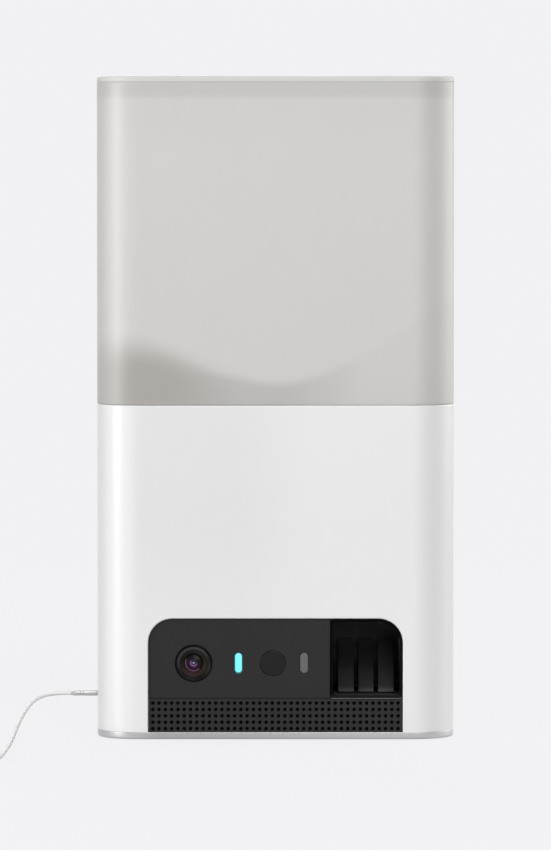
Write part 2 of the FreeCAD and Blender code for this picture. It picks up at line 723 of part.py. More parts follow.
def speaker():
    gasket = new_body("speaker_gasket")
    front = INNER_FRONT
    ring = rounded("speaker_left", "speaker_right", BASE_TOP, "speaker_top", "3")
    inner = inside_ring("gasket_rim", "gasket_rim")
    layer(gasket, "XZ", front, front + "+gasket_depth", both(ring, inner))
    driver = new_body("speaker_driver")
    start = front + "+gasket_depth"
    layer(driver, "XZ", start, start + "+speaker_depth", ring)
    cone = inside_ring("cone_rim", "3.5")
    layer(driver, "XZ", start + "-0.1", start + "+cone_sink", cone, cut=True)
    middle = "(speaker_left+speaker_right)/2"
    left, right = middle + "-magnet_half", middle + "+magnet_half"
    magnet = rounded(left, right, BASE_TOP + "+1", "speaker_top-1", "2")
    layer(driver, "XZ", start + "+speaker_depth", start + "+speaker_depth+magnet_depth", magnet)


def lens():
    place = ("lens_place", "eye_line")
    bezel = new_body("lens_bezel")
    outer = "lens_hole_radius-insert_gap"
    front = FACE + "-bezel_proud"
    layer(bezel, "XZ", front, FLANGE_BACK, circle(*place, outer))
    flange_end = FLANGE_BACK + "+insert_flange"
    layer(bezel, "XZ", FLANGE_BACK, flange_end, circle(*place, outer + "+insert_flange"))
    bore = circle(*place, outer + "-bezel_wall")
    layer(bezel, "XZ", front + "-0.1", flange_end + "+0.1", bore, cut=True)
    barrel = new_body("lens_barrel")
    size = outer + "-bezel_wall-fit_gap"
    layer(barrel, "XZ", FACE + "+0.6", BOARD_FRONT, circle(*place, size))
    cup = circle(*place, size + "-barrel_wall")
    layer(barrel, "XZ", FACE + "+0.5", FACE + "+0.6+glass_sink+1.5", cup, cut=True)
    glass = new_body("lens_glass")
    start = FACE + "+0.6+glass_sink"
    layer(glass, "XZ", start, start + "+1.5", circle(*place, size + "-barrel_wall-fit_gap"))


def fascia_inserts():
    """Lit slot, unlit slot and sensor window: each has a flange behind the fascia."""
    slots = (("status_light", "status_place"), ("infrared_light", "infrared_place"))
    for label, place in slots:
        body = new_body(label)
        face = slot(place, "eye_line", "slot_radius", "slot_height")
        layer(body, "XZ", FACE + "+0.1", FLANGE_BACK, face)
        flange = slot(place, "eye_line", "slot_radius+insert_flange", "slot_height+2*insert_flange")
        layer(body, "XZ", FLANGE_BACK, FLANGE_BACK + "+insert_flange", flange)
        layer(body, "XZ", FLANGE_BACK + "+insert_flange", BOARD_FRONT, face)
    window = new_body("sensor_window")
    place = ("window_place", "eye_line")
    layer(window, "XZ", FACE + "+0.1", FLANGE_BACK, circle(*place, "window_radius"))
    behind = circle(*place, "window_radius+insert_flange")
    layer(window, "XZ", FLANGE_BACK, FLANGE_BACK + "+insert_flange", behind)


def camera_board():
    body = new_body("camera_board")
    back = BOARD_FRONT + "+board_thickness"
    layer(body, "XZ", BOARD_FRONT, back, rectangle("board_left", "board_right", "board_low", "board_high"))
    holes = circles(CAMERA_BOSSES, "small_screw_radius+part_gap")
    layer(body, "XZ", BOARD_FRONT + "-0.1", back + "+0.1", holes, cut=True)
    sensor = square("window_place", "eye_line", "sensor_half")
    layer(body, "XZ", FLANGE_BACK + "+insert_flange+0.5", BOARD_FRONT, sensor)
    chips = both(
        square("lens_place", "eye_line", "lens_chip_half"),
        square("status_place", "eye_line", "status_chip_half"),
    )
    layer(body, "XZ", back, back + "+chip_height", chips)
    screws = new_body("camera_board_screws")
    layer(screws, "XZ", BOARD_FRONT + "-small_bite", back, circles(CAMERA_BOSSES, "small_screw_radius"))
    layer(screws, "XZ", back, back + "+small_head_height", circles(CAMERA_BOSSES, "small_head_radius"))


# ---------------------------------------------------------------- toss chamber and paddle

# The back wall runs beside the fingers. Its inside lies this far from the shaft, square to it.
WALL_OFFSET = "(eye_radius+back_gap)"


def on_back_wall(offset, height):
    """Y of a line beside the fingers, offset from the shaft, at a height."""
    return "(hub_y+(%s)/cos(paddle_lean*1deg)+((%s)-hub_z)*tan(paddle_lean*1deg))" % (offset, height)


def toss_housing():
    body = new_body("toss_housing")
    back = WALL_OFFSET + "+chamber_wall"
    roof = "(front_top-front_gap)"
    outer = [
        (FACE, CHAMBER_BOTTOM),
        (on_back_wall(back, CHAMBER_BOTTOM), CHAMBER_BOTTOM),
        (on_back_wall(back, "neck_top"), "neck_top"),
        ("neck_front-chamber_wall", "neck_top"),
        ("neck_front-chamber_wall", "neck_low+0.5"),
        ("throat_back-chamber_wall/2", roof),
        (FACE, roof),
    ]
    layer(body, "YZ", "mouth_left", "front_edge", polygon(outer))
    # legs down to the base plate, clear of the grille
    leg_front = FLANGE_BACK + "+0.4"
    legs = both(
        rectangle("mouth_left", "mouth_left+leg_thickness", leg_front, leg_front + "+leg_depth"),
        rectangle("front_edge-leg_thickness", "front_edge", leg_front, leg_front + "+leg_depth"),
    )
    layer(body, "XY", BASE_TOP, CHAMBER_BOTTOM + "+0.5", legs)
    round_edges(body, [("front_edge", FACE + "+5", roof)], "front_corner-front_gap")
    inner = [
        (FACE + "-2", CHAMBER_FLOOR),
        (on_back_wall(WALL_OFFSET, CHAMBER_FLOOR), CHAMBER_FLOOR),
        (on_back_wall(WALL_OFFSET, "neck_top+2"), "neck_top+2"),
        ("neck_front", "neck_top+2"),
        ("neck_front", "neck_low"),
        ("throat_back", roof + "-chamber_wall"),
        (FACE + "-2", roof + "-chamber_wall"),
    ]
    cavity = polygon(inner)
    inside_right = "front_edge-chamber_wall"
    corner = "(front_corner-front_gap-chamber_wall)"
    # the inside follows the rounded corner: full width below it, narrower slices above
    layer(body, "YZ", "mouth_left+chamber_wall", inside_right + "-" + corner, cavity, cut=True)
    shoulder = roof + "-chamber_wall-" + corner
    below = inner[:2] + [(on_back_wall(WALL_OFFSET, shoulder), shoulder), (FACE + "-2", shoulder)]
    layer(body, "YZ", inside_right + "-" + corner + "-0.5", inside_right, polygon(below), cut=True)
    round_part = circle(inside_right + "-" + corner, shoulder, corner)
    layer(body, "XZ", FACE + "-2", "neck_front-chamber_wall-shoulder_back-0.4", round_part, cut=True)
    neck = [
        (on_back_wall(WALL_OFFSET, "hub_z+12"), "hub_z+12"),
        (on_back_wall(WALL_OFFSET, "neck_top+2"), "neck_top+2"),
        ("neck_front", "neck_top+2"),
        ("neck_front", "neck_low"),
        ("neck_front-chamber_wall-shoulder_back", roof + "-chamber_wall+0.8"),
        ("neck_front-chamber_wall-shoulder_back-1.4", shoulder),
    ]
    layer(body, "YZ", inside_right + "-" + corner + "-0.5", inside_right, polygon(neck), cut=True)
    # bushes for the paddle shaft
    bush = circle("hub_y", "hub_z", "shaft_radius+fit_gap")
    layer(body, "YZ", "mouth_left-1", "front_edge+1", bush, cut=True)


def finger_profile():
    """A finger seen from the side: a flat blade whose back touches the round eye's back."""
    near, far = "(eye_radius-finger_thickness)", "eye_radius"
    along, square = "sin(paddle_lean*1deg)", "cos(paddle_lean*1deg)"

    def spot(offset, distance):
        return (
            "hub_y+(%s)*%s+(%s)*%s" % (offset, square, distance, along),
            "hub_z-(%s)*%s+(%s)*%s" % (offset, along, distance, square),
        )

    return polygon([spot(near, "0"), spot(far, "0"), spot(far, "finger_length"), spot(near, "finger_length")])


def toss_paddle():
    body = new_body("toss_paddle")
    width = "(finger_count*finger_width+(finger_count-1)*finger_slot)"
    middle = "(mouth_left+front_edge)/2"
    shaft_end = "front_edge-0.1"
    layer(body, "YZ", "sector_left", shaft_end, circle("hub_y", "hub_z", "shaft_radius"))
    for k in range(int(value("finger_count"))):
        start = middle + "-%s/2+%d*(finger_width+finger_slot)" % (width, k)
        layer(body, "YZ", start, start + "+finger_width", finger_profile())
        layer(body, "YZ", start, start + "+finger_width", circle("hub_y", "hub_z", "eye_radius"))


# ---------------------------------------------------------------- gears


def gear_outline(teeth, first_angle, kept=None):
    """Involute outline about the origin, a tooth's middle at first_angle, going anticlockwise."""
    module, pressure = value("gear_module"), math.radians(value("pressure_angle"))
    pitch = module * teeth / 2
    base = pitch * math.cos(pressure)
    tip = pitch + module * value("tooth_addendum")
    root = pitch - module * value("tooth_dedendum")
    step = 2 * math.pi / teeth
    half_pitch_angle = step / 4 - value("tooth_thinning") / (2 * pitch)
    rolled = math.tan(pressure) - pressure

    def half_angle(radius):
        steep = math.acos(base / radius)
        return half_pitch_angle + rolled - (math.tan(steep) - steep)

    def at(radius, angle):
        return FreeCAD.Vector(radius * math.cos(angle), radius * math.sin(angle), 0)

    lowest = max(base * 1.0005, root)
    radii = [lowest + (tip - lowest) * k / 5 for k in range(6)]
    edges = []
    count = kept or teeth
    for tooth in range(count):
        middle = first_angle + tooth * step
        rising = [at(radius, middle - half_angle(radius)) for radius in radii]
        falling = [at(radius, middle + half_angle(radius)) for radius in reversed(radii)]
        if root < lowest:
            foot = half_angle(lowest)
            edges.append(Part.LineSegment(at(root, middle - foot), rising[0]).toShape())
        edges += [Part.LineSegment(a, b).toShape() for a, b in zip(rising, rising[1:])]
        edges.append(Part.Arc(rising[-1], at(tip, middle), falling[0]).toShape())
        edges += [Part.LineSegment(a, b).toShape() for a, b in zip(falling, falling[1:])]
        last = falling[-1]
        if root < lowest:
            low = at(root, middle + foot)
            edges.append(Part.LineSegment(last, low).toShape())
            last = low
        if tooth < count - 1 or kept is None:
            following = middle + step - half_angle(lowest)
            between = (middle + half_angle(lowest) + following) / 2
            edges.append(Part.Arc(last, at(root, between), at(root, following)).toShape())
    return edges, root


def whole_gear(teeth, first_angle, width):
    edges, _ = gear_outline(teeth, first_angle)
    return Part.Face(Part.Wire(edges)).extrude(FreeCAD.Vector(0, 0, width))


def rod(radius, start, length):
    return Part.makeCylinder(radius, length, FreeCAD.Vector(0, 0, start))


# Turns a shape drawn about +Z so that it lies about +X, its own X along +Y and its own Y along +Z.
ALONG_X = FreeCAD.Rotation(FreeCAD.Vector(0, 1, 0), FreeCAD.Vector(0, 0, 1), FreeCAD.Vector(1, 0, 0), "XYZ")


def toss_sector():
    """Part of a wheel, fixed on the paddle shaft. Its teeth reach the pinion over the whole kick."""
    teeth, kept = int(value("sector_teeth")), int(value("sector_kept"))
    step = 2 * math.pi / teeth
    # one tooth lies beside the gap that faces the pinion; the rest follow it downwards
    first = step * (1.5 - kept)
    edges, root = gear_outline(teeth, first, kept)
    ends = [edges[0].Vertexes[0].Point, edges[-1].Vertexes[-1].Point]
    hub = FreeCAD.Vector(0, 0, 0)
    wire = Part.Wire(
        [Part.LineSegment(hub, ends[0]).toShape()] + edges + [Part.LineSegment(ends[1], hub).toShape()]
    )
    width = value("gear_width")
    web = Part.Face(wire).extrude(FreeCAD.Vector(0, 0, width))
    solid = web.fuse(rod(value("shaft_radius") + 1.8, 0, width + 1.6))
    bore = rod(value("shaft_radius+fit_gap"), -width, 3 * width)
    piece = solid_piece("toss_sector", solid.cut(bore).removeSplitter())
    place = FreeCAD.Vector(value("sector_left"), value("hub_y"), value("hub_z"))
    piece.Placement = FreeCAD.Placement(place, ALONG_X)


def toss_pinion():
    teeth = int(value("pinion_teeth"))
    width = value("gear_width")
    gear = whole_gear(teeth, math.pi, width)
    reach = value("sector_left") - value("toss_motor_left+toss_motor_length") + 1.0
    shape = gear.fuse(rod(value("motor_shaft_radius"), -reach, reach + width + 0.6))
    piece = solid_piece("toss_pinion", shape.removeSplitter())
    piece.Placement = FreeCAD.Placement(
        FreeCAD.Vector(value("sector_left"), value(MOTOR_Y), value("hub_z")), ALONG_X
    )


def toss_motor():
    body = new_body("toss_motor")
    place = (MOTOR_Y, "hub_z")
    end = "toss_motor_left+toss_motor_length"
    layer(body, "YZ", "toss_motor_left", end, circle(*place, "toss_motor_radius"))
    layer(body, "YZ", "toss_motor_left-1.2", "toss_motor_left", circle(*place, "motor_boss_radius"))
    layer(body, "YZ", end, end + "+motor_boss_length", circle(*place, "motor_boss_radius"))
    bore = circle(*place, "motor_shaft_radius+fit_gap")
    layer(body, "YZ", end + "-1.2", end + "+motor_boss_length+0.1", bore, cut=True)


def toss_motor_strap():
    body = new_body("toss_motor_strap")
    start = "toss_motor_left+(toss_motor_length-strap_width)/2"
    end = start + "+strap_width"
    outer = "toss_motor_radius+fit_gap+strap_thickness"
    layer(body, "YZ", start, end, circle(MOTOR_Y, "hub_z", outer))
    ears = "(toss_motor_radius+strap_ear)"
    ear = rectangle(MOTOR_Y + "-" + ears, MOTOR_Y + "+" + ears, "hub_z", "hub_z+strap_thickness")
    layer(body, "YZ", start, end, ear)
    bed = circle(MOTOR_Y, "hub_z", "toss_motor_radius+fit_gap")
    layer(body, "YZ", start + "-1", end + "+1", bed, cut=True)
    below = rectangle(MOTOR_Y + "-" + ears, MOTOR_Y + "+" + ears, "hub_z-" + ears, "hub_z")
    layer(body, "YZ", start + "-1", end + "+1", below, cut=True)
    shanks = circles(STRAP_SCREWS, "small_screw_radius+part_gap")
    layer(body, "XY", "hub_z-1", "hub_z+strap_thickness+1", shanks, cut=True)
    screws = new_body("toss_strap_screws")
    top = "hub_z+strap_thickness"
    layer(screws, "XY", "hub_z-small_bite", top, circles(STRAP_SCREWS, "small_screw_radius"))
    layer(screws, "XY", top, top + "+small_head_height", circles(STRAP_SCREWS, "small_head_radius"))


# ---------------------------------------------------------------- feed


def drop_duct():
    """A slanting tube from the drop hole in the deck down to the toss chamber's neck."""
    body = new_body("drop_duct")
    low_left = "(mouth_left+chamber_wall+duct_inset)"
    low_right = "(front_edge-chamber_wall-duct_inset)"
    ends = (("deck_height", "drop_left", "drop_right", "0"), ("neck_top", low_left, low_right, "duct_foot_y"))
    for grow, kind in (("duct_wall", "Additive"), ("0", "Subtractive")):
        sections = []
        half = "(drop_half_depth+%s)" % grow
        for place, left, right, middle in ends:
            sketch = new_sketch(body, "XY", place)
            front, rear = middle + "-" + half, middle + "+" + half
            rounded(left + "-" + grow, right + "+" + grow, front, rear, "2+" + grow)(sketch)
            sections.append(sketch)
        loft = body.newObject("PartDesign::%sLoft" % kind, "duct_" + kind.lower())
        loft.Profile = sections[0]
        loft.Sections = sections[1:]
        loft.Ruled = True


def feed_deck():
    body = new_body("feed_deck")
    layer(body, "XY", "deck_height", DECK_TOP, casing_outline("shell_wall+part_gap"))
    holes = both(
        circles(CORNERS, "screw_radius+part_gap"),
        circle("0", "0", "rotor_shaft_radius+fit_gap"),
        rounded("drop_left", "drop_right", "-1*drop_half_depth", "drop_half_depth", "2"),
    )
    layer(body, "XY", "deck_height-0.1", DECK_TOP + "+0.1", holes, cut=True)
    blind = circles(BRACKET_PILLARS, "screw_radius+fit_gap")
    layer(body, "XY", "deck_height-0.1", "deck_height+pillar_screw_bite+0.2", blind, cut=True)
    screws = new_body("deck_screws")
    layer(screws, "XY", "deck_height-screw_bite", DECK_TOP, circles(CORNERS, "screw_radius"))
    heads = circles(CORNERS, "screw_head_radius")
    layer(screws, "XY", DECK_TOP, DECK_TOP + "+screw_head_height", heads)


def motor_bracket():
    body = new_body("motor_bracket")
    top = "bracket_height+bracket_thickness"
    half = "bracket_half_depth"
    plate = rounded("bracket_left", "bracket_right", "-1*" + half, half, "bracket_corner")
    layer(body, "XY", "bracket_height", top, plate)
    layer(body, "XY", top, "deck_height", circles(BRACKET_PILLARS, "pillar_radius"))
    holes = both(
        circles(BRACKET_PILLARS, "screw_radius+part_gap"),
        circle("0", "0", "rotor_shaft_radius+fit_gap"),
        circle(MOTOR_X, "0", "motor_boss_radius+fit_gap"),
        circles(MOTOR_SCREWS, "small_screw_radius+part_gap"),
    )
    layer(body, "XY", "bracket_height-0.1", "deck_height+0.1", holes, cut=True)
    screws = new_body("bracket_screws")
    head = "bracket_height-screw_head_height"
    layer(screws, "XY", head, "bracket_height", circles(BRACKET_PILLARS, "screw_head_radius"))
    bite_end = "deck_height+pillar_screw_bite"
    layer(screws, "XY", "bracket_height", bite_end, circles(BRACKET_PILLARS, "screw_radius"))


def feed_motor():
    body = new_body("feed_motor")
    low = "bracket_height-feed_motor_length"
    layer(body, "XY", low, "bracket_height", circle(MOTOR_X, "0", "feed_motor_radius"))
    boss = circle(MOTOR_X, "0", "motor_boss_radius")
    layer(body, "XY", "bracket_height", "bracket_height+motor_boss_length", boss)
    bore = circle(MOTOR_X, "0", "motor_shaft_radius+fit_gap")
    layer(body, "XY", "bracket_height-3", "bracket_height+motor_boss_length+0.1", bore, cut=True)
    threads = circles(MOTOR_SCREWS, "small_screw_radius+fit_gap")
    layer(body, "XY", "bracket_height-motor_screw_bite-0.2", "bracket_height+0.1", threads, cut=True)
    terminals = both(
        rectangle(MOTOR_X + "-5", MOTOR_X + "-3", "-0.4", "0.4"),
        rectangle(MOTOR_X + "+3", MOTOR_X + "+5", "-0.4", "0.4"),
    )
    layer(body, "XY", low + "-3", low, terminals)
    screws = new_body("feed_motor_screws")
    top = "bracket_height+bracket_thickness"
    layer(screws, "XY", "bracket_height-motor_screw_bite", top, circles(MOTOR_SCREWS, "small_screw_radius"))
    layer(screws, "XY", top, top + "+small_head_height", circles(MOTOR_SCREWS, "small_head_radius"))


def feed_gears():
    width = value("gear_width")
    wheel = whole_gear(int(value("wheel_teeth")), 0.0, width)
    wheel = wheel.cut(rod(value("rotor_shaft_radius+fit_gap"), -1, width + 2))
    piece = solid_piece("feed_wheel", wheel)
    piece.Placement.Base = FreeCAD.Vector(0, 0, value("wheel_height"))
    # the pinion lies on the wheel's -X side, where an even wheel has a tooth; its own gap faces it
    teeth = int(value("pinion_teeth"))
    gear = whole_gear(teeth, math.pi / teeth, width)
    reach = value("wheel_height") - value("bracket_height") + 2.5
    shape = gear.fuse(rod(value("motor_shaft_radius"), -reach, reach + width + 0.6))
    pinion = solid_piece("feed_pinion", shape.removeSplitter())
    pinion.Placement.Base = FreeCAD.Vector(value(MOTOR_X), 0, value("wheel_height"))


def feed_rotor():
    shaft = new_body("rotor_shaft")
    low = "bracket_height-1.5"
    rotor_low = "(" + DECK_TOP + "+rotor_lift)"
    rotor_top = rotor_low + "+rotor_height"
    layer(shaft, "XY", low, rotor_top + "-2", circle("0", "0", "rotor_shaft_radius"))
    body = new_body("feed_rotor")
    hub = [
        ("0", rotor_low),
        ("rotor_hub_radius", rotor_low),
        ("rotor_hub_radius", rotor_top),
        ("2", rotor_top + "+5"),
        ("0", rotor_top + "+5"),
    ]
    turned(body, polygon(hub))
    blade = rectangle("rotor_hub_radius-1", "rotor_radius", "-vane_thickness/2", "vane_thickness/2")
    vane = layer(body, "XY", rotor_low, rotor_top, blade)
    ring = body.newObject("PartDesign::PolarPattern", "vanes")
    ring.Originals = [vane]
    ring.Axis = (vane.Profile[0], ["N_Axis"])
    ring.Angle = 360
    ring.setExpression("Occurrences", formula("vane_count"))
    body.Tip = ring
    bore = circle("0", "0", "rotor_shaft_radius+fit_gap")
    layer(body, "XY", rotor_low + "-0.1", rotor_top + "-1.9", bore, cut=True)


# ---------------------------------------------------------------- hopper, container and lid


def hopper():
    body = new_body("hopper")
    wide = "(body_width/2+10)"
    inner, outer = "throat_radius", "(throat_radius+throat_wall)"
    rise = "(throat_top+(%s-throat_radius)*funnel_slope)"
    section = [
        (inner, DECK_TOP),
        (outer, DECK_TOP),
        (outer, rise % outer + "-funnel_thickness"),
        (wide, rise % wide + "-funnel_thickness"),
        (wide, rise % wide),
        (inner, "throat_top"),
    ]
    turned(body, polygon(section))
    top = "throat_top+body_width/2"
    gap = "shell_wall+part_gap"
    around = circle("0", "0", "body_width+body_depth")
    layer(body, "XY", DECK_TOP + "-1", top, both(around, casing_outline(gap)), cut=True)
    ring = both(casing_outline(gap), casing_outline(gap + "+skirt_wall"))
    layer(body, "XY", "skirt_low", "skirt_high", ring)
    depth = "guard_half_depth"
    guard = rectangle("guard_left", "guard_right", "-1*" + depth, depth)
    layer(body, "XY", "guard_low", "guard_low+guard_thickness", guard)


def hinge_block(side):
    """The casing's rear corner between the barrel's end and the wall."""

    def draw(sketch):
        edge, front = "%d*%s" % (side, BLOCK_LEFT), "rail_front"
        middle = ("%d*(body_width/2-corner_radius)" % side, "body_depth/2-corner_radius")
        radius = "corner_radius-shell_wall/2"
        centre = vector(value(middle[0]), value(middle[1]))
        size = value(radius)
        corner = vector(value(edge), value(front))
        up = math.sqrt(size**2 - (corner.x - centre.x) ** 2)
        out = side * math.sqrt(size**2 - (corner.y - centre.y) ** 2)
        top, flank = vector(corner.x, centre.y + up), vector(centre.x + out, corner.y)
        angles = sorted(math.atan2(p.y - centre.y, p.x - centre.x) for p in (top, flank))
        ring = Part.Circle(centre, FreeCAD.Vector(0, 0, 1), size)
        arc = sketch.addGeometry(Part.ArcOfCircle(ring, *angles), False)
        upright = sketch.addGeometry(Part.LineSegment(corner, top), False)
        level = sketch.addGeometry(Part.LineSegment(corner, flank), False)
        bind_point(sketch, arc, 3, *middle)
        bind(sketch, "Radius", (arc,), radius)
        bind_point(sketch, upright, 1, edge, front)
        sketch.addConstraint(Sketcher.Constraint("Coincident", level, 1, upright, 1))
        sketch.addConstraint(Sketcher.Constraint("Vertical", upright))
        sketch.addConstraint(Sketcher.Constraint("Horizontal", level))
        top_end, flank_end = (2, 1) if side > 0 else (1, 2)
        sketch.addConstraint(Sketcher.Constraint("Coincident", upright, 2, arc, top_end))
        sketch.addConstraint(Sketcher.Constraint("Coincident", level, 2, arc, flank_end))

    return draw


def treat_container():
    body = new_body("treat_container")
    layer(body, "XY", "seam_height", "body_height", casing_outline())
    layer(body, "XY", "seam_height-0.1", "body_height+1", casing_outline("shell_wall"), cut=True)
    reach = "body_width"
    lid_side = rectangle("-1*" + reach, reach, "-1*" + reach, "rail_front")
    layer(body, "XY", LID_BOTTOM, "body_height+1", lid_side, cut=True)
    for side in (-1, 1):
        layer(body, "XY", "body_height-block_height", "body_height", hinge_block(side))
    pin = circle("hinge_y", HINGE_Z, "pin_radius+fit_gap")
    layer(body, "YZ", "0-" + BLOCK_LEFT + "-pin_bite", BLOCK_LEFT + "+pin_bite", pin, cut=True)
    hinge = new_body("hinge_pin")
    pin = circle("hinge_y", HINGE_Z, "pin_radius")
    layer(hinge, "YZ", "0-" + BLOCK_LEFT + "-pin_bite+0.2", BLOCK_LEFT + "+pin_bite-0.2", pin)


def lid_cover():
    body = new_body("lid_cover")
    layer(body, "XY", LID_BOTTOM, "body_height", casing_outline())
    edge = "rail_front-rail_gap"
    behind = rectangle("-1*body_width", "body_width", edge, "body_depth")
    layer(body, "XY", LID_BOTTOM + "-1", "body_height+1", behind, cut=True)
    half = "barrel_half_length"
    tongue = rectangle("-1*" + half, half, edge + "-0.5", "hinge_y")
    layer(body, "XY", LID_BOTTOM, "body_height", tongue)
    layer(body, "YZ", "-1*" + half, half, circle("hinge_y", HINGE_Z, "hinge_drop"))
    rim = both(lid_ring("rim_gap"), lid_ring("rim_gap+rim_wall"))
    layer(body, "XY", LID_BOTTOM + "-rim_depth", LID_BOTTOM, rim)
    bore = circle("hinge_y", HINGE_Z, "pin_radius+fit_gap")
    layer(body, "YZ", "-1*" + half + "-1", half + "+1", bore, cut=True)


def lid_ring(inset):
    """The outline of what hangs from the lid into the container, moved inwards by inset."""
    side = "(body_width/2-shell_wall-(%s))" % inset
    front = "-body_depth/2+shell_wall+(%s)" % inset
    return rounded("0-" + side, side, front, "rail_front-(%s)" % inset, INNER_RADIUS + "-(%s)" % inset)


def lid_seal():
    body = new_body("lid_seal")
    middle = LID_BOTTOM + "-rim_depth/2"
    ring = both(lid_ring("part_gap"), lid_ring("rim_gap-fit_gap"))
    layer(body, "XY", middle + "-seal_height/2", middle + "+seal_height/2", ring)


# ---------------------------------------------------------------- electronics at the back


def main_board():
    body = new_body("main_board")
    front = "main_board_back-board_thickness"
    plate = rectangle("main_board_left", "main_board_right", "main_board_low", "main_board_high")
    layer(body, "XZ", front, "main_board_back", plate)
    holes = circles(MAIN_BOSSES, "small_screw_radius+part_gap")
    layer(body, "XZ", front + "-0.1", "main_board_back+0.1", holes, cut=True)
    left, low = "main_board_left+", "main_board_low+"
    spots = (("13", "31", "30", "48"), ("38", "50", "32", "44"), ("8", "20", "4", "12"), ("28", "46", "5", "13"))
    chips = both(*[rectangle(left + a, left + b, low + c, low + d) for a, b, c, d in spots])
    layer(body, "XZ", front + "-chip_height", front, chips)
    screws = new_body("main_board_screws")
    layer(screws, "XZ", front, "main_board_back+small_bite", circles(MAIN_BOSSES, "small_screw_radius"))
    layer(screws, "XZ", front + "-small_head_height", front, circles(MAIN_BOSSES, "small_head_radius"))
    switch = new_body("setup_switch")
    case_end = "main_board_back+switch_height-switch_top"
    layer(switch, "XZ", "main_board_back", case_end, square("button_x", "button_z", "switch_half"))
    layer(switch, "XZ", case_end, "main_board_back+switch_height", circle("button_x", "button_z", "1.6"))


def setup_button():
    body = new_body("setup_button")
    place = ("button_x", "button_z")
    wall = "body_depth/2-shell_wall"
    layer(body, "XZ", wall, "body_depth/2-button_sink", circle(*place, "button_radius"))
    flange = circle(*place, "button_radius+button_flange")
    layer(body, "XZ", wall + "-button_flange", wall, flange)
    stem_end = "main_board_back+switch_height+button_travel+0.1"
    layer(body, "XZ", stem_end, wall + "-button_flange", circle(*place, "1.2"))


def power_socket():
    body = new_body("power_socket")
    left = "-body_width/2+shell_wall"
    low, high = "plug_height-socket_half_height", "plug_height+socket_half_height"
    half = "socket_half_width"
    layer(body, "YZ", left, left + "+socket_length", rectangle("-1*" + half, half, low, high))
    bore = circle("0", "plug_height", "plug_radius+fit_gap")
    layer(body, "YZ", left + "-0.1", "-body_width/2+plug_depth+0.3", bore, cut=True)


# ---------------------------------------------------------------- power lead


def power_plug():
    """A slim round metal plug. Its outer end narrows to the lead."""
    start = "-body_width/2-plug_shown"
    body = new_body("power_plug")
    sleeve = circle("0", "plug_height", "plug_radius")
    layer(body, "YZ", start + "+plug_taper", "-body_width/2+plug_depth", sleeve)
    loft = body.newObject("PartDesign::AdditiveLoft", "plug_end")
    sections = []
    for place, radius in ((start, "cord_radius"), (start + "+plug_taper", "plug_radius")):
        sketch = new_sketch(body, "YZ", place)
        circle("0", "plug_height", radius)(sketch)
        sections.append(sketch)
    loft.Profile = sections[0]
    loft.Sections = sections[1:]


def tube(route, radius):
    """A tube along straight runs joined by arcs that touch them. Prints each arc's radius."""
    points = [FreeCAD.Vector(*p) for p in route]
    edges, radii = [], []
    last = points[0]
    length = 0.0
    for before, here, after in zip(points, points[1:], points[2:]):
        inward, outward = here - before, after - here
        turn = inward.getAngle(outward)
        reach = 0.45 * min(inward.Length, outward.Length)
        bend = reach / math.tan(turn / 2)
        radii.append(round(bend, 1))
        inward.normalize()
        outward.normalize()
        start, end = here - inward * reach, here + outward * reach
        inside = (outward - inward).normalize()
        middle = here + inside * (bend / math.cos(turn / 2) - bend)
        edges.append(Part.LineSegment(last, start).toShape())
        edges.append(Part.Arc(start, middle, end).toShape())
        length += (start - last).Length + bend * turn
        last = end
    edges.append(Part.LineSegment(last, points[-1]).toShape())
    length += (points[-1] - last).Length
    wire = Part.Wire(edges)
    first = Part.Wire([Part.Circle(points[0], points[1] - points[0], radius).toShape()])
    solid = wire.makePipeShell([first], True, True, 2)
    print("bend radii", radii, "length", round(length, 1))
    print("volume to section x length", round(solid.Volume / (math.pi * radius**2 * length), 4))
    return solid


def power_lead():
    radius = value("cord_radius")
    solid_piece("cord_lead", tube(LEAD_ROUTE, radius))
    solid_piece("cord_tail", tube(TAIL_ROUTE, radius))
    coil = new_body("cord_coil")
    inner, outer = "coil_radius-coil_half_width", "coil_radius+coil_half_width"
    turned(coil, rounded(inner, outer, "0", "coil_height", "coil_rounding"))
    for axis in "xy":
        coil.setExpression("Placement.Base." + axis, formula("coil_" + axis))


def usb_plug():
    x, back, height = TAIL_ROUTE[-1]
    middle = "(usb_height/2)"
    body = new_body("usb_plug_grip")
    start = "(%s)" % back
    relief = rounded("%s-3" % x, "%s+3" % x, middle + "-2.2", middle + "+2.2", "2")
    layer(body, "XZ", start, start + "+usb_relief", relief)
    grip = rounded("%s-usb_width/2" % x, "%s+usb_width/2" % x, "0", "usb_height", "2.4")
    layer(body, "XZ", start + "+usb_relief", start + "+usb_relief+usb_length", grip)
    shell = new_body("usb_plug_shell")
    front = start + "+usb_relief+usb_length"
    half_x, half_z = "usb_shell_width/2", "usb_shell_height/2"
    low, high = middle + "-" + half_z, middle + "+" + half_z
    case = rectangle("%s-%s" % (x, half_x), "%s+%s" % (x, half_x), low, high)
    layer(shell, "XZ", front, front + "+usb_shell_length", case)
    wall = "usb_shell_wall"
    hollow = rectangle(
        "%s-%s+%s" % (x, half_x, wall),
        "%s+%s-%s" % (x, half_x, wall),
        low + "+" + wall,
        middle + "+0.2",
    )
    layer(shell, "XZ", front + "+6", front + "+usb_shell_length+0.1", hollow, cut=True)


# ---------------------------------------------------------------- build, check and write


